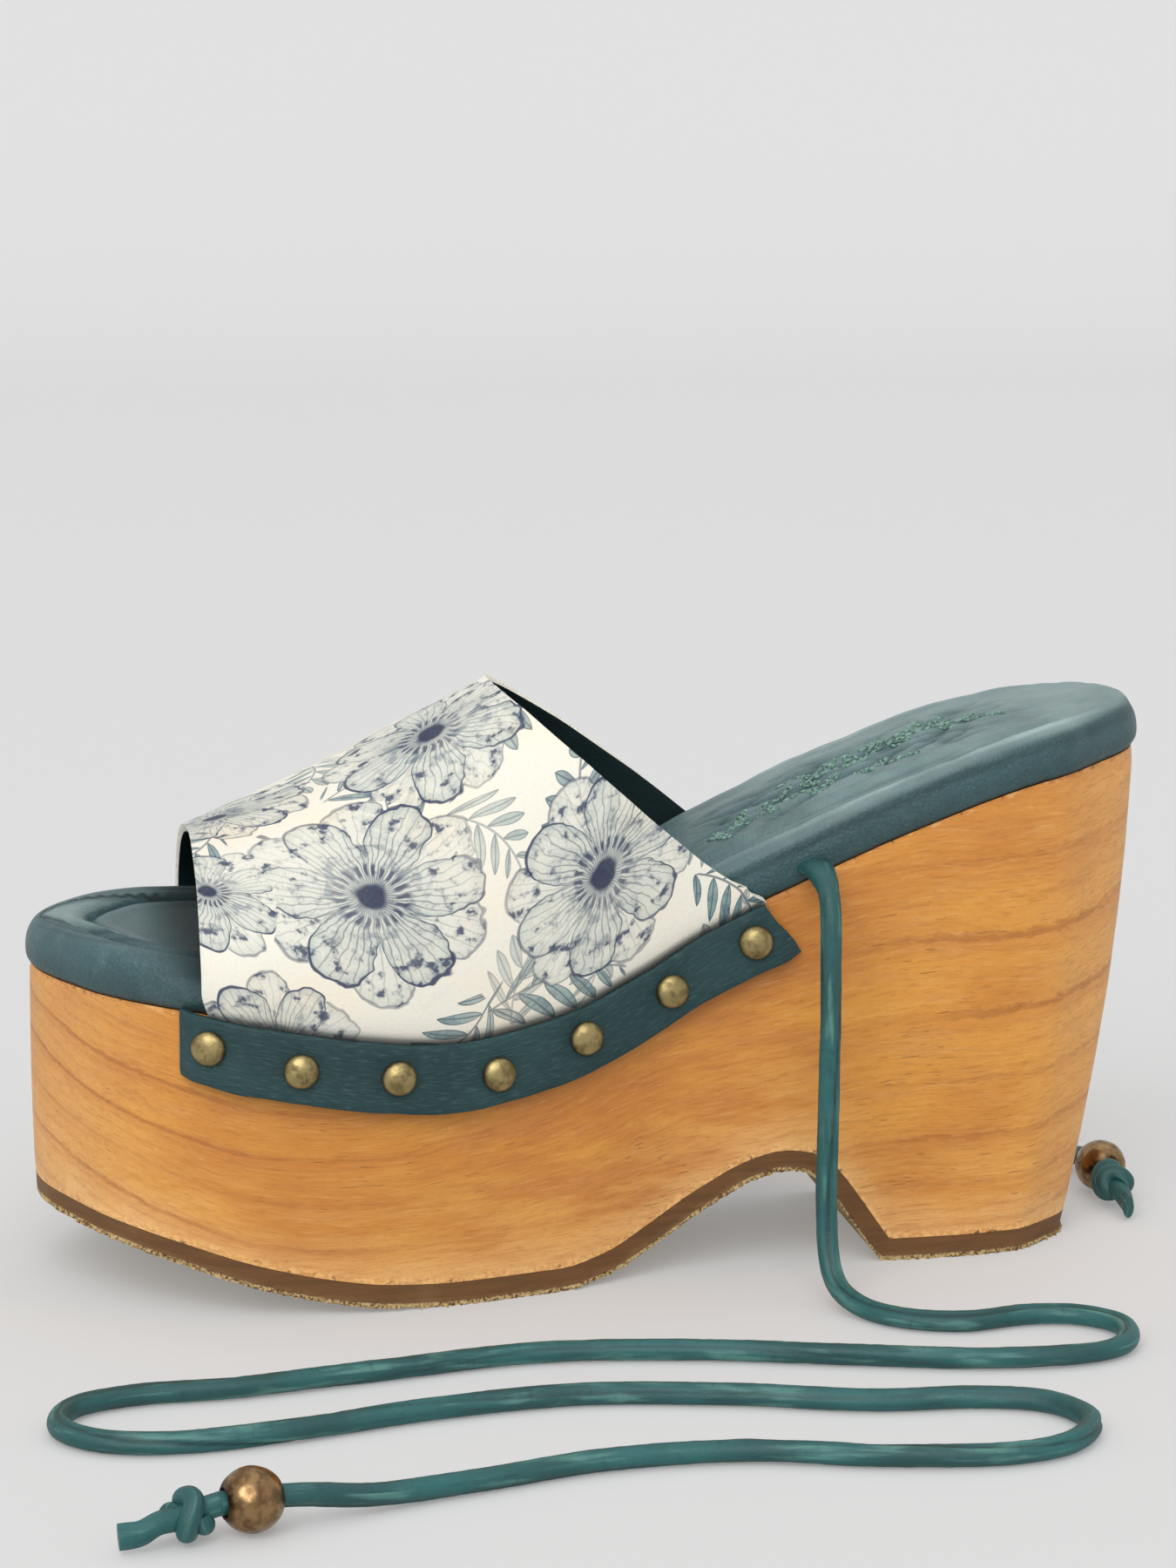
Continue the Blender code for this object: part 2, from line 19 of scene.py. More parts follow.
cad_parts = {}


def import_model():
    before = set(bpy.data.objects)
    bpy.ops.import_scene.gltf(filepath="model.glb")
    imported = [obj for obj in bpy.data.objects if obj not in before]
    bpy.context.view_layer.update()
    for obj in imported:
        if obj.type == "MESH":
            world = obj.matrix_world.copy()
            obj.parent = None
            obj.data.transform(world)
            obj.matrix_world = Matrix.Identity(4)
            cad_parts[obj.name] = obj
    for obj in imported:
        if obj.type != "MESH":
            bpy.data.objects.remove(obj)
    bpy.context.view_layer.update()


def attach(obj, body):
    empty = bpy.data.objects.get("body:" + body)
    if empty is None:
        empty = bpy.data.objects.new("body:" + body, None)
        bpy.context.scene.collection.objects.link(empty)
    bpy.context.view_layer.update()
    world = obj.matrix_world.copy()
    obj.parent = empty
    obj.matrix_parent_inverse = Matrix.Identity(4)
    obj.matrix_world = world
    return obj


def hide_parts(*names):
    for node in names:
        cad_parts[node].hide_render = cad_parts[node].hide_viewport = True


bl_info = {
    "name": "Platform clog",
    "version": (1, 0, 0),
    "blender": (4, 5, 0),
    "location": "3D View > Sidebar > Clog",
    "description": "Dresses the frame of a wooden platform clog in wood, leather and brass",
    "category": "Add Mesh",
}

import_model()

MM = 0.001
WELD = 0.000001
LATERAL, MEDIAL = -1, 1
SIDES = {LATERAL: "lateral", MEDIAL: "medial"}


def table(fields, *rows):
    """Rows of numbers whose columns have names."""
    Row = namedtuple("Row", fields)
    return [Row(*row) for row in rows]


# ---------------------------------------------------------------- sizes, in millimetres
LENGTH = 246.8
SIDE_SHIFT = 1.05  # from the world's Y = 0 to the last's own middle line
GAP = 0.3  # between pieces that lie on each other
HEEL_FRONT = 62.6
CORNER_BACK, CORNER_AHEAD = 2.4, 2.0  # free of cells behind and before the heel's front corner
END_RUN = 8.0  # of stations that follow the outline's rounded ends
HEEL_UNDERCUT, HEEL_HOLLOW = 9.8, 1.7  # forward slope of the heel's back, and its power
SIDE_BELLY = 0.6

FOOTBED_HEIGHT = 11.2
FOOTBED_DRAWN_IN, FOOTBED_END = 2.6, 22.0  # how far and along what run its ends draw in

UPPER_WALL = 1.8
UPPER_FRONT, UPPER_CUT_BACK = 211.0, 1.0  # the band's front edge, and how far its foot lies back
THROAT_LOW, THROAT_CROWN = 90.5, 145.0
THROAT_RIM = {LATERAL: 94.8, MEDIAL: 91.0}
THROAT_SWEEP = {LATERAL: 0.81, MEDIAL: 0.92}  # powers: the edge runs straighter towards 1
UPPER_ROUNDNESS, UPPER_FULLNESS = 2.2, 2.05  # powers of the arch across and upwards
INSTEP_SHIFT = 1.6

STRIP_WALL = 1.6
STRIP_WIDTH = 14.5
STRIP_NARROWING, STRIP_NARROWS_FROM = 1.5, 203.0
STRIP_FRONT = 216.0
STRIP_BACK_TOP, STRIP_BACK_LOW = 91.0, 83.0
STRIP_FRONT_TURN, STRIP_BACK_TURN = 4.2, 5.5  # runs over which it bends in to the wood
STRIP_CORNER, STRIP_CORNER_RISE = 0.2, 1.1

NAIL_RADIUS = 3.7
NAIL_RISE = 2.4
NAIL_LIP = 0.25
NAIL_GAP = 0.4

TIE_THICK = 4.5
TIE_LIES = 2.4  # height of a tie's middle line on the floor

# The last's outline: its middle line and half its width at each station.
PLAN = table(
    "station centre half_width",
    (0, 0.0, 0.0), (4, 0.0, 15.2), (12, 0.2, 22.7), (25, 0.0, 29.8), (45, 0.0, 31.8),
    (75, 0.5, 32.2), (105, 0.6, 30.4), (135, 0.0, 36.8), (160, -0.1, 42.4), (180, 0.4, 45.0),
    (200, 1.8, 45.3), (218, 3.0, 39.6), (232, 3.9, 30.0), (241, 4.9, 17.9), (LENGTH, 5.3, 0.0),
)

# The wood's top, and how far its side draws in down to the floor.
WOOD = table(
    "station top floor_taper",
    (0, 112.3, 4.7), (30, 106.7, 4.7), (60, 96.6, 4.7), (90, 83.5, 4.2), (105, 76.4, 2.6),
    (120, 68.8, 1.4), (140, 61.4, 0.8), (162, 58.3, 0.8), (180, 60.0, 0.8), (210, 65.0, 0.8),
    (LENGTH, 68.1, 0.8),
)

# The tread sheet from the heel's front to the toe; behind that it lies flat under the heel.
TREAD = table(
    "station underside thickness",
    (HEEL_FRONT, 0.0, 4.9), (66.5, 5.0, 4.6), (72.6, 13.8, 4.6), (77, 19.3, 4.6), (81, 21.7, 4.6),
    (85, 22.1, 4.6), (91, 20.6, 4.6), (101, 15.3, 4.7), (112, 8.5, 4.8), (124, 2.5, 4.9),
    (136, 0.0, 5.0), (158, 0.0, 5.0), (174, 0.8, 5.0), (190, 3.3, 4.9), (206, 7.4, 4.7),
    (222, 11.8, 4.4), (238, 15.4, 4.2), (LENGTH, 16.8, 4.2),
)

# The band's height over the instep.
CROWN = table(
    "station height",
    (93, 169.0), (110, 153.8), (130, 138.6), (150, 125.9), (170, 116.0), (190, 106.0),
    (212, 95.6),
)

# The footbed's section from its underside, round the rolled rim, to its middle.
FOOTBED_RIM = table(
    "out height",
    (-3.0, GAP), (-0.6, GAP), (0.6, 1.4), (1.1, 3.4), (1.3, 5.8), (0.9, 8.3), (-0.9, 10.4),
    (-3.7, FOOTBED_HEIGHT), (-7.0, 10.9), (-10.0, 10.0), (-13.0, 9.7), (-20.0, 9.7),
)

# The band's hem between wood and strip, up to where the band springs free over the foot.
UPPER_HEM = table(
    "height out",
    (-12.2, GAP), (-5.0, GAP), (0.0, 0.35), (1.4, 1.1), (3.4, 1.9), (5.7, 2.2),
)
UPPER_SPRING = UPPER_HEM[-1]

# Each nail's place: its station and its drop below the wood's top.
NAILS = table(
    "station drop",
    (92.9, 7.0), (112.6, 7.2), (132.5, 6.5), (151.9, 7.8), (172.8, 6.8), (192.4, 7.4),
    (209.6, 5.5),
)

# The ties from the seam under the footbed to the knot, in the world frame. A point given without
# its height is on the floor.
TIE_ROUTES = {
    LATERAL: (
        (43.5, -33.9, 90.6), (43.5, -39.5, 90.4), (43.5, -46.2, 87.6), (43.4, -49.4, 80.0),
        (43.2, -50.4, 64.0), (42.8, -51.0, 40.0), (42.4, -52.2, 18.0), (42.8, -57.0, 6.5),
        (46.0, -66.0, 2.9), (54.0, -75.0), (66.0, -79.0), (79.0, -77.0), (90.0, -79.0),
        (97.0, -87.0), (94.0, -98.0), (83.0, -103.0), (62.0, -102.0), (36.0, -95.0),
        (7.0, -87.0), (-25.0, -83.0), (-57.0, -88.0), (-86.0, -93.0), (-106.0, -94.0),
        (-119.0, -99.0), (-122.0, -110.0), (-114.0, -119.0), (-99.0, -122.0), (-78.0, -119.0),
        (-50.0, -112.0), (-21.0, -109.0), (8.0, -114.0), (34.0, -122.0), (55.0, -124.0),
        (68.0, -129.0), (73.0, -140.0), (66.0, -151.0), (52.0, -155.0), (30.0, -152.0),
        (4.0, -145.0), (-22.0, -145.0), (-46.0, -151.0), (-66.0, -157.0, 3.2),
        (-80.0, -161.0, 5.6), (-88.0, -163.0, 6.3), (-96.0, -165.0, 6.4),
    ),
    MEDIAL: (
        (43.5, 33.0, 90.6), (43.5, 38.2, 90.4), (43.5, 44.2, 87.6), (43.4, 47.4, 80.0),
        (43.2, 48.4, 64.0), (42.8, 49.0, 40.0), (42.4, 50.2, 18.0), (41.4, 55.0, 6.5),
        (36.0, 63.0, 3.0), (22.0, 69.0), (-4.0, 68.0), (-34.0, 64.0), (-62.0, 64.0),
        (-76.0, 69.0), (-80.0, 80.0), (-72.0, 90.0), (-56.0, 92.0), (-30.0, 87.0), (2.0, 84.0),
        (34.0, 86.0), (53.0, 90.0), (61.0, 100.0), (55.0, 111.0), (40.0, 114.0), (16.0, 110.0),
        (-16.0, 106.0), (-48.0, 108.0), (-66.0, 112.0), (-73.0, 123.0), (-65.0, 133.0),
        (-48.0, 136.0), (-20.0, 132.0), (14.0, 130.0), (48.0, 131.0), (76.0, 126.0),
        (95.0, 114.0), (105.0, 95.0), (111.0, 73.0), (118.0, 53.0), (124.0, 38.0, 3.0),
        (126.0, 25.0, 5.6), (125.8, 17.0, 6.3), (125.2, 9.0, 6.4),
    ),
}


# ---------------------------------------------------------------- what a user may change
def linear(red, green, blue):
    """Linear colour of screen values from 0 to 255."""
    shares = (c / 255 for c in (red, green, blue))
    return tuple(c / 12.92 if c <= 0.04045 else ((c + 0.055) / 1.055) ** 2.4 for c in shares)


def colour(name, description, *screen):
    return bpy.props.FloatVectorProperty(
        name=name, description=description, default=linear(*screen), size=3, min=0, max=1,
        subtype="COLOR",
    )


def length(name, description, millimetres, low=0.0, high=100.0):
    return bpy.props.FloatProperty(
        name=name, description=description, default=millimetres, min=low, max=high,
    )


class ClogSizes(bpy.types.PropertyGroup):
    """Sizes of the clog's finish, in millimetres."""

    grain_pitch: length("Grain pitch", "Distance between growth lines at the toe, mm", 9.4, 1, 40)
    fringe: length("Fringe", "How far the tread's ragged lower edge sticks out, mm", 0.95, 0, 2)
    seam_pitch: length("Seam pitch", "Distance between the footbed's stitches, mm", 3.2, 1, 10)
    seam_depth: length("Seam depth", "Depth of the footbed's inner seam, mm", 2.5, 0, 3)
    rim_folds: length("Rim folds", "Height of the soft folds along its rim, mm", 0.45, 0, 2)
    thread: length("Thread", "Thickness of the embroidery thread, mm", 0.7, 0.2, 1)
    leather_waves: length("Leather waves", "Height of the waves in the upper, mm", 0.45, 0, 2)
    print_scale: length("Print scale", "Size of the printed motifs, 1 as made", 1.0, 0.5, 2)
    tie_crease: length("Tie crease", "Depth of the crease along each tie, mm", 0.55, 0, 1)


class ClogColours(bpy.types.PropertyGroup):
    """Colours of the clog's pieces."""

    wood: colour("Wood", "Honey stain of the platform", 213, 147, 60)
    wood_dark: colour("Wood, dark", "Redder stain where it soaked in", 187, 115, 48)
    wood_line: colour("Growth lines", "Thin darker lines of the grain", 146, 80, 38)
    wood_pale: colour("Wood, pale", "Rubbed and sanded wood near the tread", 227, 178, 116)
    tread: colour("Tread", "Cut edge of the tread", 108, 74, 42)
    tread_crumb: colour("Tread crumb", "Ragged lower edge and underside", 184, 160, 112)
    footbed: colour("Footbed", "Leather of the footbed", 40, 76, 80)
    thread: colour("Thread", "Embroidery on the footbed", 106, 138, 128)
    strip: colour("Strips", "Leather of the side strips", 33, 62, 64)
    tie: colour("Ties", "Leather of the ties", 26, 82, 82)
    ivory: colour("Upper", "Ground of the printed leather", 227, 223, 210)
    ink: colour("Print line", "Dark line work of the print", 52, 60, 88)
    sage: colour("Print wash", "Washes of the print", 118, 148, 146)
    brass: colour("Nails", "Antique brass", 152, 136, 94)
    bronze: colour("Beads", "Antique bronze", 140, 112, 78)


# ---------------------------------------------------------------- curves and the last's shape
def curve_through(xs, ys):
    """A smooth function through the points (xs, ys) that never overshoots them."""
    steps = [(y1 - y0) / (x1 - x0) for x0, x1, y0, y1 in zip(xs, xs[1:], ys, ys[1:])]
    inner = [0.0 if a * b <= 0 else 2 * a * b / (a + b) for a, b in zip(steps, steps[1:])]
    slopes = [steps[0], *inner, steps[-1]]

    def value(x):
        x = min(max(x, xs[0]), xs[-1])
        i = min(bisect_right(xs, x), len(xs) - 1) - 1
        width = xs[i + 1] - xs[i]
        t = (x - xs[i]) / width
        rise = ys[i + 1] - ys[i]
        blend = t * t * (3 - 2 * t)
        bend = slopes[i] * t * (1 - t) ** 2 - slopes[i + 1] * t * t * (1 - t)
        return ys[i] + rise * blend + width * bend

    return value


def column(rows, name):
    """The smooth curve of one named column against the stations."""
    return curve_through([row.station for row in rows], [getattr(row, name) for row in rows])


def by_row(rows, name):
    """The smooth curve of one named column against the row's number."""
    return curve_through(range(len(rows)), [getattr(row, name) for row in rows])


def tie_route(side):
    """The points of a tie's route, each with its height."""
    return [(*point, TIE_LIES)[:3] for point in TIE_ROUTES[side]]


centre_line = column(PLAN, "centre")
half_width_squared = curve_through([p.station for p in PLAN], [p.half_width**2 for p in PLAN])
wood_top = column(WOOD, "top")
floor_taper = column(WOOD, "floor_taper")
tread_underside = column(TREAD, "underside")
tread_thickness = column(TREAD, "thickness")
crown_height = column(CROWN, "height")


def smooth_step(x, low=0.0, high=1.0):
    """0 at `low`, 1 at `high`, level beyond both and smooth between, whichever is greater."""
    x = min(max((x - low) / (high - low), 0.0), 1.0)
    return x * x * (3 - 2 * x)


def grain(x, y, z=0.0):
    """Smooth noise about 1 unit wide, from -1 to 1."""
    return noise.noise(Vector((x, y, z)))


def hump(x, middle, width):
    """1 at the middle, falling smoothly to nothing about two widths away."""
    return exp(-(((x - middle) / width) ** 2))


def slope(curve, x, step=0.01):
    """How fast a curve rises at x."""
    return (curve(x + step) - curve(x - step)) / (2 * step)


def outward(station, side):
    """Unit vector in plan, (along stations, across), square to the outline and out of it."""
    half = sqrt(half_width_squared(station))
    lean = side * slope(centre_line, station) * half
    return Vector((-(lean + slope(half_width_squared, station) / 2), side * half)).normalized()


def side_point(station, side, out=0.0):
    """Plan point on the outline, moved `out` millimetres squarely outwards."""
    half = sqrt(half_width_squared(station))
    return Vector((station, centre_line(station) + side * half)) + out * outward(station, side)


def world(station, y, height):
    """World point in metres of a point given by station, distance across and height."""
    return Vector((LENGTH / 2 - station, y - SIDE_SHIFT, height)) * MM


def wall_point(station, side, height, out=0.0):
    """(station, across, height) on the wooden side, which tapers towards the floor."""
    top = wood_top(station)
    depth = max((top - height) / top, 0.0)
    inset = floor_taper(station) * depth**1.2 - SIDE_BELLY * sin(pi * min(depth, 1.0))
    plan = side_point(station, side, out - inset)
    forward = HEEL_UNDERCUT * max(1 - station / HEEL_FRONT, 0.0) * depth**HEEL_HOLLOW
    return plan.x + forward, plan.y, height


def clear_of_ends(station):
    """0 at the very back and front, where both sides meet, and 1 everywhere else."""
    return smooth_step(min(station, LENGTH - station), 0.0, 3.0)


def outline_stations(count):
    """Stations from heel to toe that are evenly spaced round the outline's two ends."""
    return [LENGTH * (1 - cos(pi * i / count)) / 2 for i in range(count + 1)]


def spread_out(start, end, pitch):
    """Stations from start to end, about `pitch` apart."""
    steps = ceil((end - start) / pitch)
    return [start + (end - start) * i / steps for i in range(steps + 1)]


def sole_stations(pitch):
    """Stations behind and before the heel's front, about `pitch` apart and clear of its corner."""
    ends = [s for s in outline_stations(160) if s < END_RUN]
    toe = [LENGTH - s for s in reversed(ends)]
    heel = ends[:-1] + spread_out(ends[-1], HEEL_FRONT - CORNER_BACK, pitch) + [HEEL_FRONT]
    return heel, spread_out(HEEL_FRONT + CORNER_AHEAD, toe[0], pitch)[:-1] + toe


def sheet_profile(pitch, share, extra=0.0):
    """(station, height) along the sole from heel to toe, raised squarely off the tread's
    underside by a share of the tread's thickness plus extra millimetres."""
    heel, front = sole_stations(pitch)
    path = [(s, 0.0) for s in heel] + [(s, tread_underside(s)) for s in front]
    raised = []
    for i, (s, z) in enumerate(path):
        before = path[max(i - 1, 0)]
        after = path[min(i + 1, len(path) - 1)]
        normals = []
        for (s0, z0), (s1, z1) in ((before, (s, z)), ((s, z), after)):
            run = hypot(s1 - s0, z1 - z0)
            if run:
                normals.append(Vector((-(z1 - z0) / run, (s1 - s0) / run)))
        mean = sum(normals, Vector((0, 0))).normalized()
        reach = (share * tread_thickness(s) + extra) / mean.dot(normals[0])
        back = reach * mean.x * smooth_step(LENGTH - s, 0.0, 12.0)
        raised.append((min(max(s + back, 0.0), LENGTH), z + reach * mean.y))
    return raised


def runs_along(points, unit=1.0):
    """How far along its line each of the points lies, counted in a unit."""
    return [0.0, *accumulate((b - a).length / unit for a, b in zip(points, points[1:]))]


def smooth_route(points, spacing):
    """Equally spaced points, about `spacing` apart, on a smooth curve through the points."""
    knots = [Vector(p) for p in points]
    knots = [2 * knots[0] - knots[1], *knots, 2 * knots[-1] - knots[-2]]
    fine = []
    for p0, p1, p2, p3 in zip(knots, knots[1:], knots[2:], knots[3:]):
        for i in range(20):
            t = i / 20
            bend = (2 * p0 - 5 * p1 + 4 * p2 - p3) * t * t + (3 * (p1 - p2) + p3 - p0) * t**3
            fine.append(p1 + ((p2 - p0) * t + bend) / 2)
    fine.append(knots[-2])
    run = runs_along(fine)
    count = round(run[-1] / spacing)
    spaced = []
    for n in range(count + 1):
        goal = run[-1] * n / count
        i = min(bisect_right(run, goal), len(run) - 1)
        spaced.append(fine[i - 1].lerp(fine[i], (goal - run[i - 1]) / (run[i] - run[i - 1])))
    return spaced


# ---------------------------------------------------------------- mesh helpers
def around(steps, over, under):
    """Columns of a grid round a section, each (share across, step): up the lateral side by the
    steps, over the top in so many cells, down the medial side and back underneath."""
    columns = [(0, step) for step in steps]
    columns += [(i / over, steps[-1]) for i in range(1, over)]
    columns += [(1, step) for step in reversed(steps)]
    columns += [(1 - i / under, steps[0]) for i in range(1, under)]
    return columns + columns[:1]


def across(column, edge, *where):
    """edge(side, *where, step) on a side, or a share of the way between both sides."""
    share, step = column
    if share in (0, 1):
        return edge(MEDIAL if share else LATERAL, *where, step)
    near, far = (edge(side, *where, step) for side in (LATERAL, MEDIAL))
    return [p + (q - p) * share for p, q in zip(near, far)]


def shaped_grid(rows, columns, place):
    """Grid whose points are put where place(i, j) says, counted in cells from its first corner.
    place returns a world point in metres and the pair of millimetres for the UV map."""
    bm = bmesh.new()
    chart = bm.loops.layers.uv.new("UVMap")
    bmesh.ops.create_grid(bm, x_segments=rows, y_segments=columns, size=1, calc_uvs=True)
    for vert in bm.verts:
        i, j = (round((c + 1) / 2 * cells) for c, cells in zip(vert.co, (rows, columns)))
        vert.co, flat = place(i, j)
        for loop in vert.link_loops:
            loop[chart].uv = (flat[0] * MM, flat[1] * MM)
    return bm


def close_up(bm):
    """Welds seams and poles, drops what they flatten and turns every face outwards."""
    bmesh.ops.remove_doubles(bm, verts=bm.verts, dist=WELD)
    bmesh.ops.dissolve_degenerate(bm, dist=WELD, edges=bm.edges)
    bmesh.ops.recalc_face_normals(bm, faces=bm.faces)
    return bm


def cap_ends(bm):
    """Fills what is still open."""
    bmesh.ops.holes_fill(bm, edges=[e for e in bm.edges if e.is_boundary], sides=0)
    bmesh.ops.recalc_face_normals(bm, faces=bm.faces)
    return bm


def turn_out(bm, direction):
    """Turns an open sheet's faces round where most of them look against a direction."""
    bm.normal_update()
    if sum(face.normal.dot(direction) for face in bm.faces) < 0:
        bmesh.ops.reverse_faces(bm, faces=bm.faces)


def give_wall(bm, thickness, round_edge):
    """Gives an open sheet a wall on the side its faces point to. The old side keeps material 1,
    the new side gets 0 and the cut edge 2, with its corners rounded."""
    bm.normal_update()
    inner_faces = bm.faces[:]
    inner_edges = [e for e in bm.edges if e.is_boundary]
    made = bmesh.ops.duplicate(bm, geom=bm.verts[:] + bm.edges[:] + bm.faces[:])
    rims = inner_edges + [
        g for g in made["geom"] if isinstance(g, bmesh.types.BMEdge) and g.is_boundary
    ]
    for vert in made["geom"]:
        if isinstance(vert, bmesh.types.BMVert):
            vert.co += vert.normal * thickness * MM
    for face in inner_faces:
        face.material_index = 1
    bmesh.ops.reverse_faces(bm, faces=inner_faces)
    for face in bmesh.ops.bridge_loops(bm, edges=rims)["faces"]:
        face.material_index = 2
    bmesh.ops.recalc_face_normals(bm, faces=bm.faces)
    bmesh.ops.bevel(
        bm, geom=rims, offset=round_edge * MM, offset_type="OFFSET", segments=2, profile=0.5,
        affect="EDGES", clamp_overlap=True, material=-1,
    )


def turned(profile, steps):
    """Closed shape turned about Z from (radius, height) points in millimetres."""
    bm = bmesh.new()
    verts = [bm.verts.new((r * MM, 0, h * MM)) for r, h in profile]
    edges = [bm.edges.new(pair) for pair in zip(verts, verts[1:])]
    if profile[0][0] and profile[-1][0]:
        edges.append(bm.edges.new((verts[-1], verts[0])))
    bmesh.ops.spin(
        bm, geom=verts + edges, cent=(0, 0, 0), axis=(0, 0, 1), angle=2 * pi, steps=steps,
        use_merge=True, use_duplicate=False,
    )
    return close_up(bm)


def set_along(bm, start, direction):
    """Moves a shape's origin to a start in millimetres and turns its Z axis to a direction."""
    turn = direction.to_track_quat("Z", "Y").to_matrix().to_4x4()
    bmesh.ops.transform(bm, matrix=Matrix.Translation(start * MM) @ turn, verts=bm.verts)


def carried_frames(points, side):
    """(along, sideways, up) at each point of a route, carried along it without twisting from a
    first sideways direction."""
    frames = []
    for i in range(len(points)):
        along = (points[min(i + 1, len(points) - 1)] - points[max(i - 1, 0)]).normalized()
        side = (side - along * side.dot(along)).normalized()
        frames.append((along, side, along.cross(side)))
    return frames


TUBE_CHART = 2


def tube(points, sides, section, sideways=(1, 0, 0)):
    """Closed tube along points in millimetres. section(run, angle) returns how far the surface
    lies sideways and up from the line. Its UV map holds the run and TUBE_CHART times the angle."""
    frames = carried_frames(points, Vector(sideways))
    runs = runs_along(points)

    def place(i, j):
        angle = 2 * pi * j / sides
        aside, rise = section(runs[i], angle)
        _, sideways, up = frames[i]
        point = points[i] + sideways * aside + up * rise
        return point * MM, (runs[i], angle * TUBE_CHART)

    bm = shaped_grid(len(points) - 1, sides, place)
    bmesh.ops.remove_doubles(bm, verts=bm.verts, dist=WELD)
    return cap_ends(bm)


def mesh_from(name, bm, materials=()):
    """Smooth mesh in these materials from a shape, which is let go."""
    mesh = bpy.data.meshes.new(name)
    bm.to_mesh(mesh)
    bm.free()
    mesh.shade_smooth()
    for material in materials:
        mesh.materials.append(material)
    return mesh


def shown(name, data):
    """Scene object that shows a mesh, a lamp or a camera."""
    obj = bpy.data.objects.new(name, data)
    bpy.context.scene.collection.objects.link(obj)
    return obj


def finished(name, bm, materials, replaces=(), sharp=50):
    """Scene object from a finished shape, riding on the root and standing for its CAD nodes."""
    mesh = mesh_from(name, bm, materials)
    mesh.set_sharp_from_angle(angle=radians(sharp))
    obj = shown(name, mesh)
    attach(obj, "root")
    if replaces:
        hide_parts(*replaces)
    return obj


# ---------------------------------------------------------------- materials
def maths_of_two(operation, swapped=False):
    """Method that puts a term and another value through a Math node."""

    def method(self, other):
        return self.maths(operation, *((other, self) if swapped else (self, other)))

    return method


def maths_of_one(operation):
    """Method that puts a term through a Math node."""
    return lambda self: self.maths(operation, self)


class Term:
    """A number or vector that varies over a surface. Arithmetic on it adds Math nodes."""

    def __init__(self, finish, socket):
        self.finish = finish
        self.socket = socket

    def maths(self, operation, *values):
        return self.finish.node("Math", {"operation": operation}, dict(enumerate(values)))

    __add__ = __radd__ = maths_of_two("ADD")
    __mul__ = __rmul__ = maths_of_two("MULTIPLY")
    __sub__, __rsub__ = maths_of_two("SUBTRACT"), maths_of_two("SUBTRACT", swapped=True)
    __truediv__, __rtruediv__ = maths_of_two("DIVIDE"), maths_of_two("DIVIDE", swapped=True)
    __pow__ = maths_of_two("POWER")
    __abs__ = maths_of_one("ABSOLUTE")
    least, most = maths_of_two("MINIMUM"), maths_of_two("MAXIMUM")
    below, bearing = maths_of_two("LESS_THAN"), maths_of_two("ARCTAN2")
    whole, part = maths_of_one("FLOOR"), maths_of_one("FRACT")
    sine, cosine = maths_of_one("SINE"), maths_of_one("COSINE")

    def rise(self, low, high):
        """0 below `low`, 1 above `high` and smooth between; falls where low is above high."""
        if low > high:
            return 1 - self.rise(high, low)
        return self.finish.node(
            "MapRange", {"interpolation_type": "SMOOTHSTEP"}, {0: self, 1: low, 2: high}
        )


def opaque(tone, lightness=1.0):
    """Colour with its alpha, made lighter or darker."""
    return (*(min(c * lightness, 1.0) for c in tone), 1.0)


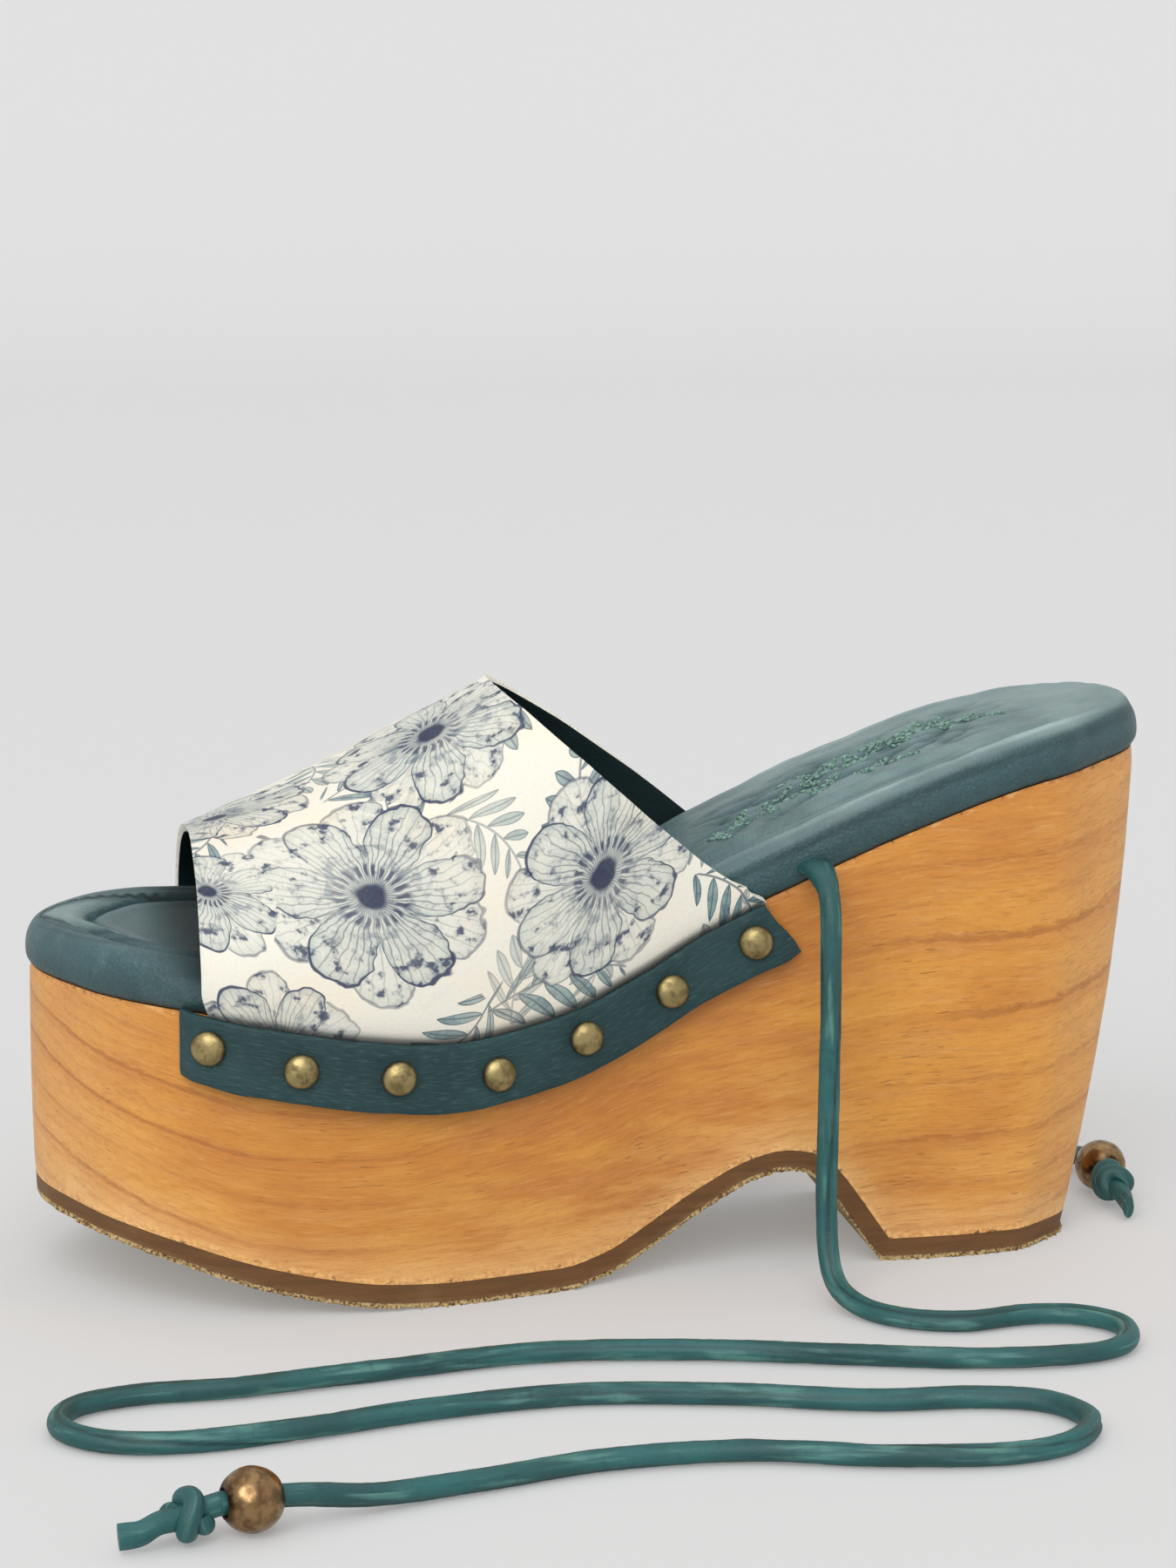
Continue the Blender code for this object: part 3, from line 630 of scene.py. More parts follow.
class Finish:
    """A material in the making, around one Principled shader, with the colour laid so far."""

    def __init__(self, name, **constants):
        self.material = bpy.data.materials.new(name)
        self.material.use_nodes = True
        self.tree = self.material.node_tree
        self.shader = self.tree.nodes["Principled BSDF"]
        self.colour = None
        sockets = {s.name.lower().replace(" ", "_"): s for s in self.shader.inputs}
        for name, value in constants.items():
            sockets[name].default_value = value

    def node(self, kind, settings, sockets, output=0):
        """Adds a node, settings first, and returns one of its outputs."""
        made = self.tree.nodes.new("ShaderNode" + kind)
        for name, value in settings.items():
            setattr(made, name, value)
        for key, value in sockets.items():
            self.feed(made.inputs[key], value)
        return Term(self, made.outputs[output])

    def feed(self, socket, value):
        """Links a term to a socket, or sets its value."""
        if isinstance(value, Term):
            self.tree.links.new(value.socket, socket)
        else:
            socket.default_value = value

    def place(self):
        """Place on the object, in metres."""
        return self.node("TexCoord", {}, {}, output="Object")

    def chart(self):
        """The piece's own UV map, in metres along its surface."""
        return self.node("UVMap", {"uv_map": "UVMap"}, {})

    def own(self, name):
        """One of the piece's own numbers, kept on its vertices."""
        return self.node("Attribute", {"attribute_name": name}, {}, output="Fac")

    def parts(self, vector):
        """The three numbers of a vector."""
        split = self.node("SeparateXYZ", {}, {0: vector}).socket.node
        return [Term(self, split.outputs[i]) for i in range(3)]

    def vector(self, x, y, z=0.0):
        return self.node("CombineXYZ", {}, {0: x, 1: y, 2: z})

    def vectors(self, operation, one, other):
        return self.node("VectorMath", {"operation": operation}, {0: one, 1: other})

    def noise(self, vector, scale=1.0, detail=2.0, roughness=0.5):
        """Noise from 0 to 1 whose blots are about 1 / scale wide, or so along each of 3 scales."""
        if isinstance(scale, tuple):
            vector, scale = self.vectors("MULTIPLY", vector, scale), 1.0
        sockets = {"Vector": vector, "Scale": scale, "Detail": detail, "Roughness": roughness}
        return self.node("TexNoise", {}, sockets)

    def cells(self, vector, scale, output="Distance", **settings):
        return self.node("TexVoronoi", settings, {"Vector": vector, "Scale": scale}, output)

    def blend(self, under, over, share):
        """Colour `over` laid on colour `under` by a share."""
        return self.node("Mix", {"data_type": "RGBA"}, {0: share, 6: under, 7: over}, output=2)

    def lay(self, tone, share=None, lightness=1.0):
        """Lays a tone over the colour so far by a share. The first tone laid is the ground."""
        over = tone if isinstance(tone, Term) else opaque(tone, lightness)
        self.colour = over if share is None else self.blend(self.colour, over, share)

    def bump(self, height, millimetres):
        """Feeds the shader's normal from a height of 0 to 1 that stands for so many millimetres."""
        normal = self.node("Bump", {}, {"Height": height, "Distance": millimetres * MM})
        self.feed(self.shader.inputs["Normal"], normal)

    def paint(self, roughness=None):
        """The material, in the colour laid so far."""
        self.feed(self.shader.inputs["Base Color"], self.colour)
        if roughness is not None:
            self.feed(self.shader.inputs["Roughness"], roughness)
        return self.material


def wood_finish(colours, sizes):
    """Honey-stained block: growth lines that fan out to the heel, fibres, pores, sanded edges.
    Places are in metres, and heights over the sole or under the top in millimetres."""
    f = Finish("stained wood", specular_ior_level=0.4)
    place = f.place()
    x, y, z = f.parts(place)
    above, below = f.own("above_sole"), f.own("below_top")
    tan, ruddy = linear(194, 136, 88), linear(178, 100, 50)

    # the height of a growth line: bent down at both ends and crowded at the heel's foot
    low = f.noise(place, (6, 10, 9), 1)
    wander = f.noise(place, (20, 34, 60), 3, 0.55)
    fuzz = f.noise(place, (260, 420, 800), 3, 0.65)
    toe, heel = (-0.062 - x).most(0.0), (x - 0.075).most(0.0)
    bend = toe * toe * 2600 + heel * heel * 2200
    height = z * 1000 - 25 - y * 170 - bend + low * 15 + wander * 4.0
    crowd = (1 - z / 0.055).most(0.0)
    height = height - crowd * crowd * x.rise(0.02, 0.07) * 26
    spread = x.rise(-0.05, 0.075) * 0.8 + 1
    level = height / spread
    turns = (level + fuzz * 1.4 * spread) / sizes.grain_pitch

    # each year's line: a soft band with a dark core, and fainter lines within the year
    saw = turns.part()
    lot = f.node("TexWhiteNoise", {"noise_dimensions": "1D"}, {"W": turns.whole()})
    strong = lot.rise(0.0, 0.8)
    clear = (x.rise(-0.035, -0.075) * 0.75).most(x.rise(0.03, 0.09) * 0.85) * 0.8 + 0.2
    broken = f.noise(f.vector(x * 42, y * 30, turns * 0.8), 1.0, 3, 0.6).rise(0.34, 0.56)
    band = saw.rise(0.50, 0.86) * saw.rise(1.0, 0.90) * (strong * 0.6 + 0.4)
    core = saw.rise(0.80, 0.87) * saw.rise(0.975, 0.90)
    core = core * (broken * 0.7 + 0.3) * (strong * 0.5 + 0.5)
    within = (turns * 3.0 + wander * 1.5).part()
    faint = within.rise(0.55, 0.85) * within.rise(1.0, 0.9) * broken

    # fibres that follow the growth lines, with finer hairs and short dark pores
    sway = f.noise(place, (70, 120, 160))
    along = f.vector(x * 112, y * 330, level * 1.9 + sway * 1.2)
    fibres = f.noise(along, 1.0, 4, 0.74)
    hairs = f.noise(along, (1.7, 1.6, 1.8), 2, 0.65)
    pores = f.noise(along, (2.0, 1.8, 1.8), 0)
    ticks = pores.rise(0.75, 0.80) * f.noise(place, 26).rise(0.46, 0.60)

    # stain, rubbed and sanded wood, and painted light that makes both ends paler
    patch = f.noise(place, (22, 40, 48), 3, 0.55)
    tint = f.noise(place, (34, 70, 170), 3, 0.6)
    speck = f.noise(place, 1500, 2, 0.6)
    chips = f.noise(place, 520)
    middle = x.rise(-0.06, -0.02) * x.rise(0.07, 0.02)
    pale = above.rise(11, 1) * 0.42 + above.rise(30, 8) * tint.rise(0.62, 0.40) * 0.25
    # painted light: paler towards the heel's back and the toe's front
    pale = pale + x.rise(0.085, 0.125) * 0.5 + x.rise(-0.09, -0.12) * 0.3
    sanded = f.noise(place, 850).rise(0.42, 0.60) * above.rise(2.4, 0.3)
    sanded = sanded.most(chips.rise(0.46, 0.36) * below.rise(1.5, 0.4) * 0.7)
    nicks = chips.rise(0.60, 0.70) * above.rise(1.5, 0.2).most(below.rise(1.1, 0.2) * 0.8)

    f.lay(colours.wood)
    f.lay(tan, tint.rise(0.46, 0.74) * 0.30)
    f.lay(colours.wood_dark, patch.rise(0.44, 0.70) * 0.55)
    # darker in patches towards the top, under the footbed
    f.lay(colours.wood_dark, below.rise(36, 6) * patch.rise(0.25, 0.55) * 0.4)
    f.lay(ruddy, middle * tint.rise(0.3, 0.6) * 0.40)
    f.lay(colours.wood_pale, pale)
    f.lay(colours.wood_pale, fibres.rise(0.50, 0.30) * 0.28)
    f.lay(colours.wood_line, fibres.rise(0.50, 0.76) * 0.20)
    f.lay(colours.wood_line, hairs.rise(0.52, 0.68) * 0.27)
    f.lay(ruddy, band * clear * 0.30)
    f.lay(colours.wood_line, faint * 0.12)
    f.lay(colours.wood_line, core * clear * (hairs * 0.8 + 0.3) * 0.7, 0.85)
    f.lay(colours.wood_line, ticks * 0.42, 0.5)
    f.lay(colours.wood_dark, speck.rise(0.5, 0.75) * 0.16, 0.8)
    f.lay(colours.wood_pale, sanded * 0.7, 1.1)
    f.lay(colours.wood_line, nicks * 0.8, 0.4)
    f.bump(fibres * 0.5 + core * 0.2 - ticks * 0.5 + sanded * 0.8 - nicks * 0.6, 0.12)
    return f.paint(0.42 + fibres * 0.14 + sanded * 0.3)


def tread_finish(colours):
    """Pressed tread sheet: smooth cut edge, ragged pale crumb along its lower edge and below."""
    f = Finish("tread sheet", specular_ior_level=0.3)
    place = f.place()
    speck = f.noise(place, 1500, 2, 0.7)
    smear = f.noise(place, (60, 60, 700), 3)
    blots = f.noise(place, 60, 3)
    f.lay(colours.tread_crumb)
    f.lay(colours.tread, speck.rise(0.42, 0.60), 0.8)
    f.lay(colours.tread_crumb, blots.rise(0.5, 0.75) * 0.5, 1.25)
    ragged = f.colour
    f.lay(colours.tread)
    f.lay(colours.tread, smear.rise(0.35, 0.7) * 0.6, 0.62)
    f.lay(colours.tread_crumb, blots.rise(0.55, 0.8) * 0.15, 0.8)
    share = (f.own("crumb") + (speck - 0.5) * 0.7).rise(0.35, 0.65)
    f.lay(ragged, share)
    f.bump(speck * (share * 0.8 + 0.2), 0.35)
    return f.paint(share * 0.25 + 0.62)


def leather(name, tone, bloom_and_glint_tone, grain_size, gloss, pores=0.1, **constants):
    """Soft grained leather with a lighter bloom where it is rubbed, fine light flecks that are partly
    painted glints, and its roughness.
    """
    f = Finish(name, **constants)
    place = f.place()
    cell = f.cells(place, 1000 / grain_size, feature="F1")
    fine = f.noise(place, 2600 / grain_size, 2, 0.6)
    cloud = f.noise(place, 38, 4, 0.6)
    patch = f.noise(place, 130)
    f.lay(tone, lightness=0.82)
    f.lay(tone, cloud.rise(0.3, 0.7), 1.12)
    # random bloom, and fine flecks and cell spots that are partly painted glints on the grain
    bloom = patch.rise(0.5, 0.8) * 0.20 + fine.rise(0.50, 0.70) * 0.22
    f.lay(bloom_and_glint_tone, bloom + cell.rise(0.5, 0.2) * 0.08)
    f.bump(cell * 0.6 + fine * 0.5, pores)
    return f, gloss + (cloud - 0.5) * 0.16 + fine * 0.08


def lining_finish():
    """Dark leather inside the band, darkened further as painted shade for the shadow inside it."""
    f, rough = leather(
        "lining leather", linear(9, 30, 32), linear(24, 50, 52), grain_size=0.9, gloss=0.7,
        specular_ior_level=0.25,
    )
    return f.paint(rough)


def footbed_finish(colours):
    """Smooth dark leather with a soft sheen, greyer with wear and painted sheen, and darker with
    painted shade where it folds.
    """
    f, rough = leather(
        "footbed leather", colours.footbed, linear(104, 132, 134), grain_size=0.9, gloss=0.42,
        pores=0.22, specular_ior_level=0.6, sheen_weight=0.04, sheen_roughness=0.45,
    )
    wear_and_sheen = f.own("wear_and_painted_sheen") * (f.noise(f.place(), 55, 3).rise(0.25, 0.65) * 0.5 + 0.5)
    shade = f.own("shade")
    # wear and painted sheen: pale grey-green on the heel's top, along its corner and on the toe's
    # panel
    f.lay(linear(150, 171, 169), wear_and_sheen * 0.72)
    # painted shade in seams, creases, tucks and under the band
    f.lay(linear(10, 34, 36), shade)
    return f.paint(rough + shade * 0.5)


def thread_finish(colours):
    """Twisted embroidery thread."""
    f = Finish("embroidery thread", specular_ior_level=0.45)
    twist = f.noise(f.place(), 1300)
    f.lay(colours.thread, lightness=0.5)
    f.lay(colours.thread, twist.rise(0.35, 0.65), 1.4)
    f.bump(twist, 0.15)
    return f.paint(twist * 0.1 + 0.5)


def strip_finish(colours):
    """Matte cut leather with a fine grain along the strip."""
    f = Finish("strip leather", specular_ior_level=0.35)
    place = f.place()
    along, down, _ = f.parts(f.chart())
    streak = f.noise(f.vector(along * 320, down * 2600), 1.0, 3, 0.65)
    fine = f.noise(place, 3000, 2, 0.6)
    cloud = f.noise(place, 45, 3)
    f.lay(colours.strip, lightness=0.8)
    f.lay(colours.strip, cloud.rise(0.3, 0.7), 1.1)
    f.lay(linear(88, 120, 124), streak.rise(0.50, 0.72) * 0.30)
    f.lay(colours.strip, streak.rise(0.46, 0.30) * 0.5, 0.45)
    f.bump(streak * 0.7 + fine * 0.4, 0.16)
    return f.paint(0.58 + streak * 0.15)


def cut_edge_finish(name, tone, darkest):
    """Raw fibrous edge of cut leather."""
    f = Finish(name, specular_ior_level=0.25)
    fibres = f.noise(f.place(), (900, 900, 2400), 2, 0.7)
    f.lay(tone, lightness=darkest)
    f.lay(tone, fibres.rise(0.35, 0.65), 1.1)
    f.bump(fibres, 0.2)
    return f.paint(0.75 + fibres * 0.1)


def tie_finish(colours):
    """Round leather cord: lengthwise crease with painted shade in it, worn lighter streaks."""
    f = Finish("tie leather", specular_ior_level=0.5)
    run, turn, _ = f.parts(f.chart())
    streak = f.noise(f.vector(run * 55, turn * 420), 1.0, 3, 0.55)
    fine = f.noise(f.vector(run * 900, turn * 2500), 1.0, 2, 0.6)
    wrinkle = f.noise(f.vector(run * 420, turn * 190), 1.0, 3, 0.7)
    cloud = f.noise(f.place(), 40)
    f.lay(colours.tie, lightness=0.72)
    f.lay(colours.tie, cloud.rise(0.3, 0.7), 1.25)
    f.lay(linear(96, 146, 136), streak.rise(0.50, 0.70) * 0.55)
    f.lay(colours.tie, streak.rise(0.44, 0.26) * 0.6, 0.35)
    # painted shade in the crease and the softer fold
    f.lay(colours.tie, f.own("crease") * 0.85, 0.25)
    f.lay(colours.tie, wrinkle.rise(0.46, 0.30) * 0.35, 0.45)
    f.bump(fine * 0.3 + streak * 0.3 + wrinkle * 0.5, 0.3)
    return f.paint(0.44 + streak * 0.18)


def metal_finish(name, tone, tarnish, gloss, dents):
    """Antique plated metal, darker where the tarnish was left."""
    f = Finish(name, metallic=1.0)
    place = f.place()
    blots = f.noise(place, 420, 3, 0.6)
    fine = f.noise(place, 1500)
    dark = (blots.rise(0.40, 0.68) * 0.6 + (1 - f.own("rub")) * 0.75).least(1.0)
    f.lay(tone, lightness=1.25)
    f.lay(tarnish, dark)
    f.bump(blots * 0.8 + fine * 0.2, dents)
    return f.paint(gloss + dark * 0.22)


def stage_finish(tone, glow):
    """Matte painted surface of the stage, lit from within so that shadows on it stay light."""
    f = Finish(
        "floor", roughness=0.9, specular_ior_level=0.2, emission_strength=glow,
        emission_color=opaque(WHITE),
    )
    f.lay(tone)
    f.lay(tone, f.noise(f.place(), 0.7), 0.985)
    return f.paint()


# ---------------------------------------------------------------- the printed leather
# Each flower by its station, its place along the arc from the lateral hem, its turn in degrees
# and its size against the radius of the largest.
FLOWERS = (
    (177, 47, 25, 1.0), (128, 39, 130, 0.86), (160, 88, 300, 0.9), (205, 83, 80, 0.78),
    (196, 8, 200, 0.7), (150, 130, 40, 0.95), (198, 128, 250, 0.85), (118, 142, 170, 0.8),
    (166, 172, 110, 0.95), (206, 176, 10, 0.7), (122, 184, 330, 0.8), (209, 42, 60, 0.62),
)
FLOWER_RADIUS = 25.0
PETALS, VEINS, STAMENS = 6, 9, 22
PRINT_LINE = 0.011
# Each layer of sprigs by its shift, the closeness of its cells and half a sprig's length.
SPRIGS = (((3, 7, 0), 0.036, 15.0), ((71, 33, 0), 0.031, 18.0))


def nearest_flower(f, a, b):
    """A place (x, y) in its nearest flower, and its distance squared, all in that one's radii."""
    nearest = None
    for station, arc, turn, size in FLOWERS:
        c, s = (wave(radians(turn)) / (FLOWER_RADIUS * size) for wave in (cos, sin))
        da, db = a - station, b - arc
        place = da * c + db * s, db * c - da * s
        away = place[0] * place[0] + place[1] * place[1]
        if nearest:
            closer = away.below(nearest[2])
            place = (
                f.node("Mix", {}, {0: closer, 2: old, 3: new}) for old, new in zip(nearest, place)
            )
            away = nearest[2].least(away)
        nearest = (*place, away)
    return nearest


def petals(r, angle, shake, phase, reach, weight):
    """(line, wash, cover, depth inside the rim) of a ring of petals with fine veins."""
    swing = (angle * (PETALS / (2 * pi)) + phase).part()
    off = abs(swing - 0.5) * 2
    rim = reach * (1 - off**2.6 * 0.62) + (shake - 0.5) * 0.16
    depth = rim - r
    inside = depth.rise(-0.006, 0.006)
    outline = abs(r - rim).rise(PRINT_LINE * 2.2, PRINT_LINE * 0.8)
    vein = abs((swing * VEINS).part() - 0.5) * r * (2 * pi / PETALS / VEINS)
    veins = vein.rise(PRINT_LINE * 0.85, PRINT_LINE * 0.2) * inside * (1 - r / reach * 0.55)
    tint = inside * (0.28 + 0.5 * (1 - r / reach))
    edge = inside * depth.rise(0.16, 0.0) * 0.35
    return outline.most(veins * 0.8) * weight, (tint * 0.75 + edge) * weight, inside, depth


def sprigs(f, flat, covered):
    """(wash, line) of scattered sprigs of leaves, faint where flowers cover them."""
    layers = []
    for shift, closeness, long in SPRIGS:
        spot = f.vectors("ADD", flat, shift)
        cell = f.cells(spot, closeness, "Position", voronoi_dimensions="2D")
        dx, dy, _ = f.parts(f.vectors("SUBTRACT", spot, cell))
        spin, lot, _ = f.parts(f.cells(spot, closeness, "Color", voronoi_dimensions="2D"))
        turn = spin * (2 * pi)
        c, s = turn.cosine(), turn.sine()
        px, py = (dx * c + dy * s) / long, (dy * c - dx * s) / long
        py = py - px * px * 0.35 + 0.1
        side = py.below(0.0)
        aside = abs(py)
        skew = px - aside * 0.95
        q = abs((skew * 3.2 + side * 0.5).part() - 0.5) / 3.2 * 0.72
        taper = (1 - px * px).most(0.0)
        leaf = aside / (taper * 0.52 + 0.001)
        half = (leaf * (1 - leaf)).most(0.0) * taper * 0.33
        span = px.rise(-0.86, -0.8) * px.rise(0.9, 0.84)
        inside = (half - q).rise(-0.004, 0.008) * half.rise(0.001, 0.012) * span
        rim = abs(half - q).rise(0.02, 0.006) * inside.rise(0.0, 0.4)
        rib = q.rise(0.014, 0.004) * inside
        twig = aside.rise(0.022, 0.01) * span
        keep = (1 - covered * 0.85) * lot.rise(0.12, 0.16)
        line = rim.most(rib).most(twig) * keep * (0.4 + lot * 0.5)
        layers.append((inside * (0.45 + lot * 0.65) * keep, line))
    return [one.most(other) for one, other in zip(*layers)]


def print_finish(colours, sizes):
    """Ivory leather printed with open flowers in fine dark line and sprigs in grey-green wash."""
    f = Finish("printed leather", specular_ior_level=0.3)
    flat = f.vectors("MULTIPLY", f.chart(), (1000 / sizes.print_scale,) * 3)
    shake = f.noise(flat, 0.16)
    a, b, _ = f.parts(flat)
    a = a + (shake - 0.5) * 3
    b = b + (f.noise(f.vectors("ADD", flat, (40, 9, 3)), 0.16) - 0.5) * 3
    x, y, away = nearest_flower(f, a, b)
    r, angle = away**0.5, y.bearing(x)
    bloom = r, angle, shake
    ink, wash, covered, depth = petals(*bloom, phase=0.0, reach=0.92, weight=1.0)
    back_ink, back_wash, back, _ = petals(*bloom, phase=0.5, reach=1.0, weight=0.6)
    ink, wash = ink.most(back_ink * (1 - covered)), wash.most(back_wash * (1 - covered))
    covered = covered.most(back)
    heart = r.rise(0.15, 0.10)
    stamens = abs((angle * (STAMENS / (2 * pi))).part() - 0.5).rise(0.3, 0.18)
    ring = abs(r - 0.25).rise(0.09, 0.03) * stamens
    stem = abs(y - x * x * 0.22).rise(0.04, 0.026) * x.rise(0.84, 0.88) * x.rise(1.5, 1.45)
    ink = ink.most(heart).most(ring).most(stem * (1 - covered) * 0.8)
    spots = f.noise(flat, 0.30, 3, 0.6)
    blotch = spots.rise(0.57, 0.65) * covered * r.rise(0.35, 0.6) * depth.rise(0.42, 0.2)
    leaves, leaf_line = sprigs(f, flat, covered)

    warm = f.noise(flat, 0.035, 3)
    fade = f.noise(flat, 0.05).rise(0.25, 0.6) * 0.45 + 0.55
    pulp = f.noise(flat, 1.4, 3, 0.7)
    slate = f.noise(flat, 0.3, 3).rise(0.35, 0.7)
    sage = f.blend(opaque(colours.sage), opaque(linear(74, 104, 116)), slate)
    f.lay(colours.ivory)
    f.lay(linear(238, 221, 196), warm.rise(0.5, 0.75) * 0.8)
    f.lay(colours.ivory, pulp.rise(0.4, 0.7) * 0.32, 0.84)
    f.lay(sage, leaves * fade * (pulp * 0.5 + 0.65))
    f.lay(sage, wash * fade * (pulp * 0.6 + 0.5))
    f.lay(linear(70, 100, 118), spots.rise(0.50, 0.62) * covered * 0.4)
    f.lay(colours.ink, blotch * 0.85)
    f.lay(linear(66, 84, 100), leaf_line * 0.9)
    f.lay(colours.ink, ink * fade * 0.95)
    f.lay(colours.ink, heart * (pulp * 0.5 + 0.6), 0.7)
    # painted shadow along the band's foot, under the strip's top edge
    f.lay(linear(58, 66, 68), f.own("painted_shade_low_down") * 0.75)
    place = f.place()
    f.bump(f.cells(place, 1400) * 0.6 + f.noise(place, 3200) * 0.5, 0.05)
    return f.paint(0.55 + pulp * 0.1)


# ---------------------------------------------------------------- the stage
VIEW_TURN, VIEW_PITCH, VIEW_DISTANCE, VIEW_LENS = 10.055, 9.973, 0.800, 82.16
VIEW_AIM = (0.00099, 0.00649, 0.10322)

WHITE = (1.0, 1.0, 1.0)
SKY_STRENGTH = 0.74
SUNS = table(
    "name towards strength spread",
    ("key", (0.26, 0.72, -0.64), 1.5, 50), ("overhead", (-0.10, -0.15, -0.98), 0.35, 70),
)
WINDOW_AT, WINDOW_AIM = Vector((-0.7, -0.9, 0.95)), Vector((0, 0, 0.05))
WINDOW_WIDTH, WINDOW_HEIGHT, WINDOW_STRENGTH = 0.5, 0.8, 1.6
FLOOR_REACH, FLOOR_BEND, FLOOR_RISE, FLOOR_HALF_WIDTH, FLOOR_CELLS = 3.2, 1.2, 3.0, 6, 48
FLOOR_GLOW = 0.215


def aimed(name, data, location, ahead):
    """Camera or lamp at a place, turned to look ahead."""
    holder = shown(name, data)
    holder.location = location
    holder.rotation_euler = ahead.to_track_quat("-Z", "Y").to_euler()
    return holder


def swept_floor():
    """Floor that runs back, bends and goes up as a wall."""
    bm = bmesh.new()
    bmesh.ops.create_grid(bm, x_segments=1, y_segments=FLOOR_CELLS, size=1)
    arc = FLOOR_BEND * pi / 2
    for vert in bm.verts:
        run = (vert.co.y + 1) / 2 * (2 * FLOOR_REACH + arc + FLOOR_RISE) - 2 * FLOOR_REACH
        turn = min(max(run / FLOOR_BEND, 0.0), pi / 2)
        y = FLOOR_REACH + FLOOR_BEND * sin(turn) + min(run, 0.0)
        z = FLOOR_BEND * (1 - cos(turn)) + max(run - arc, 0.0)
        vert.co = (vert.co.x * FLOOR_HALF_WIDTH, y, z)
    return mesh_from("floor", bm, [stage_finish(linear(176, 176, 176), FLOOR_GLOW)])


class CLOG_OT_stage(bpy.types.Operator):
    """Pale floor that sweeps up behind, soft studio light and the camera"""

    bl_idname = "clog.stage"
    bl_label = "Stage"

    def execute(self, context):
        scene = context.scene
        turn, pitch = radians(VIEW_TURN), radians(VIEW_PITCH)
        ahead = Vector((sin(turn) * cos(pitch), cos(turn) * cos(pitch), -sin(pitch)))
        lens = bpy.data.cameras.new("camera")
        lens.lens, lens.sensor_width = VIEW_LENS, 36
        lens.clip_start, lens.clip_end = 0.05, 50
        scene.camera = aimed("camera", lens, Vector(VIEW_AIM) - ahead * VIEW_DISTANCE, ahead)
        shown("floor", swept_floor())

        studio = bpy.data.worlds.new("studio")
        studio.use_nodes = True
        sky = studio.node_tree.nodes["Background"]
        sky.inputs["Color"].default_value = opaque(WHITE)
        sky.inputs["Strength"].default_value = SKY_STRENGTH
        scene.world = studio
        scene.view_settings.view_transform = "Standard"
        for sun in SUNS:
            lamp = bpy.data.lights.new(sun.name, "SUN")
            lamp.energy = sun.strength
            lamp.angle = radians(sun.spread)
            aimed(sun.name, lamp, Vector(sun.towards) * -2, Vector(sun.towards))
        window = bpy.data.lights.new("window", "AREA")
        window.shape = "RECTANGLE"
        window.size, window.size_y = WINDOW_WIDTH, WINDOW_HEIGHT
        window.energy = WINDOW_STRENGTH
        aimed("window", window, WINDOW_AT, WINDOW_AIM - WINDOW_AT)
        return {"FINISHED"}


# ---------------------------------------------------------------- the ties
TIE_POINT_SPACING = 2.5 * TIE_THICK
TIE_CELL = 1.3
TAB_LENGTH = 15.0


def tie_end(side):
    """Last point of a tie's line and its heading there."""
    points = smooth_route(tie_route(side), TIE_POINT_SPACING)
    return points[-1], (points[-1] - points[-2]).normalized()


def mark(bm, name, amount):
    """Keeps amount(point in millimetres) on every vertex under a name."""
    layer = bm.verts.layers.float.new(name)
    for vert in bm.verts:
        vert[layer] = amount(vert.co / MM)


def tie_creases(run, angle, side, width):
    """1 in the crease that winds slowly along a tie and half in the softer fold opposite it."""
    wander = 5.5 * grain(run / 160, 3.1 * side) + run / 95
    depth = 0.0
    for turn, share in ((0.0, 1.0), (0.85 * pi, 0.55)):
        away = abs((angle - wander - turn + pi) % (2 * pi) - pi)
        depth += share * hump(away, 0.0, width)
    return depth


class CLOG_OT_ties(bpy.types.Operator):
    """Two round leather ties, creased along their length, with the flat tabs they start from"""

    bl_idname = "clog.ties"
    bl_label = "Ties"

    def execute(self, context):
        groove = context.scene.clog_sizes.tie_crease
        leather = tie_finish(context.scene.clog_colours)
        for side, side_name in SIDES.items():
            points = smooth_route(tie_route(side), TIE_CELL)

            def section(run, angle, side=side):
                lump = 0.10 * grain(run / 9, cos(angle) * 1.3, side)
                lump += 0.07 * grain(run / 1.6, cos(angle) * 1.4, sin(angle) * 1.4 + side)
                slim = 0.55 + 0.45 * smooth_step(run, 2, 9)
                reach = TIE_THICK / 2 - groove * tie_creases(run, angle, side, width=0.24) + lump
                return reach * slim * cos(angle) * 1.03, reach * slim * sin(angle) * 0.97

            bm = tube(points, 24, section)
            # painted shade along the creases, narrower than their grooves
            layer = bm.verts.layers.float.new("crease")
            chart = bm.loops.layers.uv["UVMap"]
            for vert in bm.verts:
                flat = vert.link_loops[0][chart].uv
                run, angle = flat.x / MM, flat.y / MM / TUBE_CHART
                vert[layer] = tie_creases(run, angle, side, width=0.16)
            name = f"tie_{side_name}"
            tie = finished(
                f"{name}_cord", bm, [leather], replaces=[name], sharp=70
            )
            tab = self.tab(side, points, leather)
        return {"FINISHED"}

    def tab(self, side, points, leather):
        """Flattened root of a tie, where it comes out from under the footbed."""
        inwards = Vector((0, -side, -0.15))
        run = [points[0] + inwards * step for step in (3.6, 2.4, 1.2)]
        run += [p for p in points if (p - points[0]).length < TAB_LENGTH]
        reach = runs_along(run)[-1]
        full, snug = Vector((3.9, 1.7)), Vector((TIE_THICK / 2, TIE_THICK / 2))

        def section(at, angle):
            half = full.lerp(snug, smooth_step(at / reach) ** 0.8)
            half *= 1.05 - 0.15 * smooth_step(at / reach, 0.7, 1.0)
            wide = abs(cos(angle)) ** 0.8 * (1 if cos(angle) > 0 else -1)
            return half.x * wide, half.y * sin(angle)

        bm = tube(run, 28, section)
        mark(bm, "crease", lambda point: 0.0)
        return finished(f"tie_tab_{SIDES[side]}", bm, [leather])


# ---------------------------------------------------------------- beads and knots
BEAD_RADIUS = 6.0
BEAD_BEVEL = 0.5
KNOT_TILT = 10.0


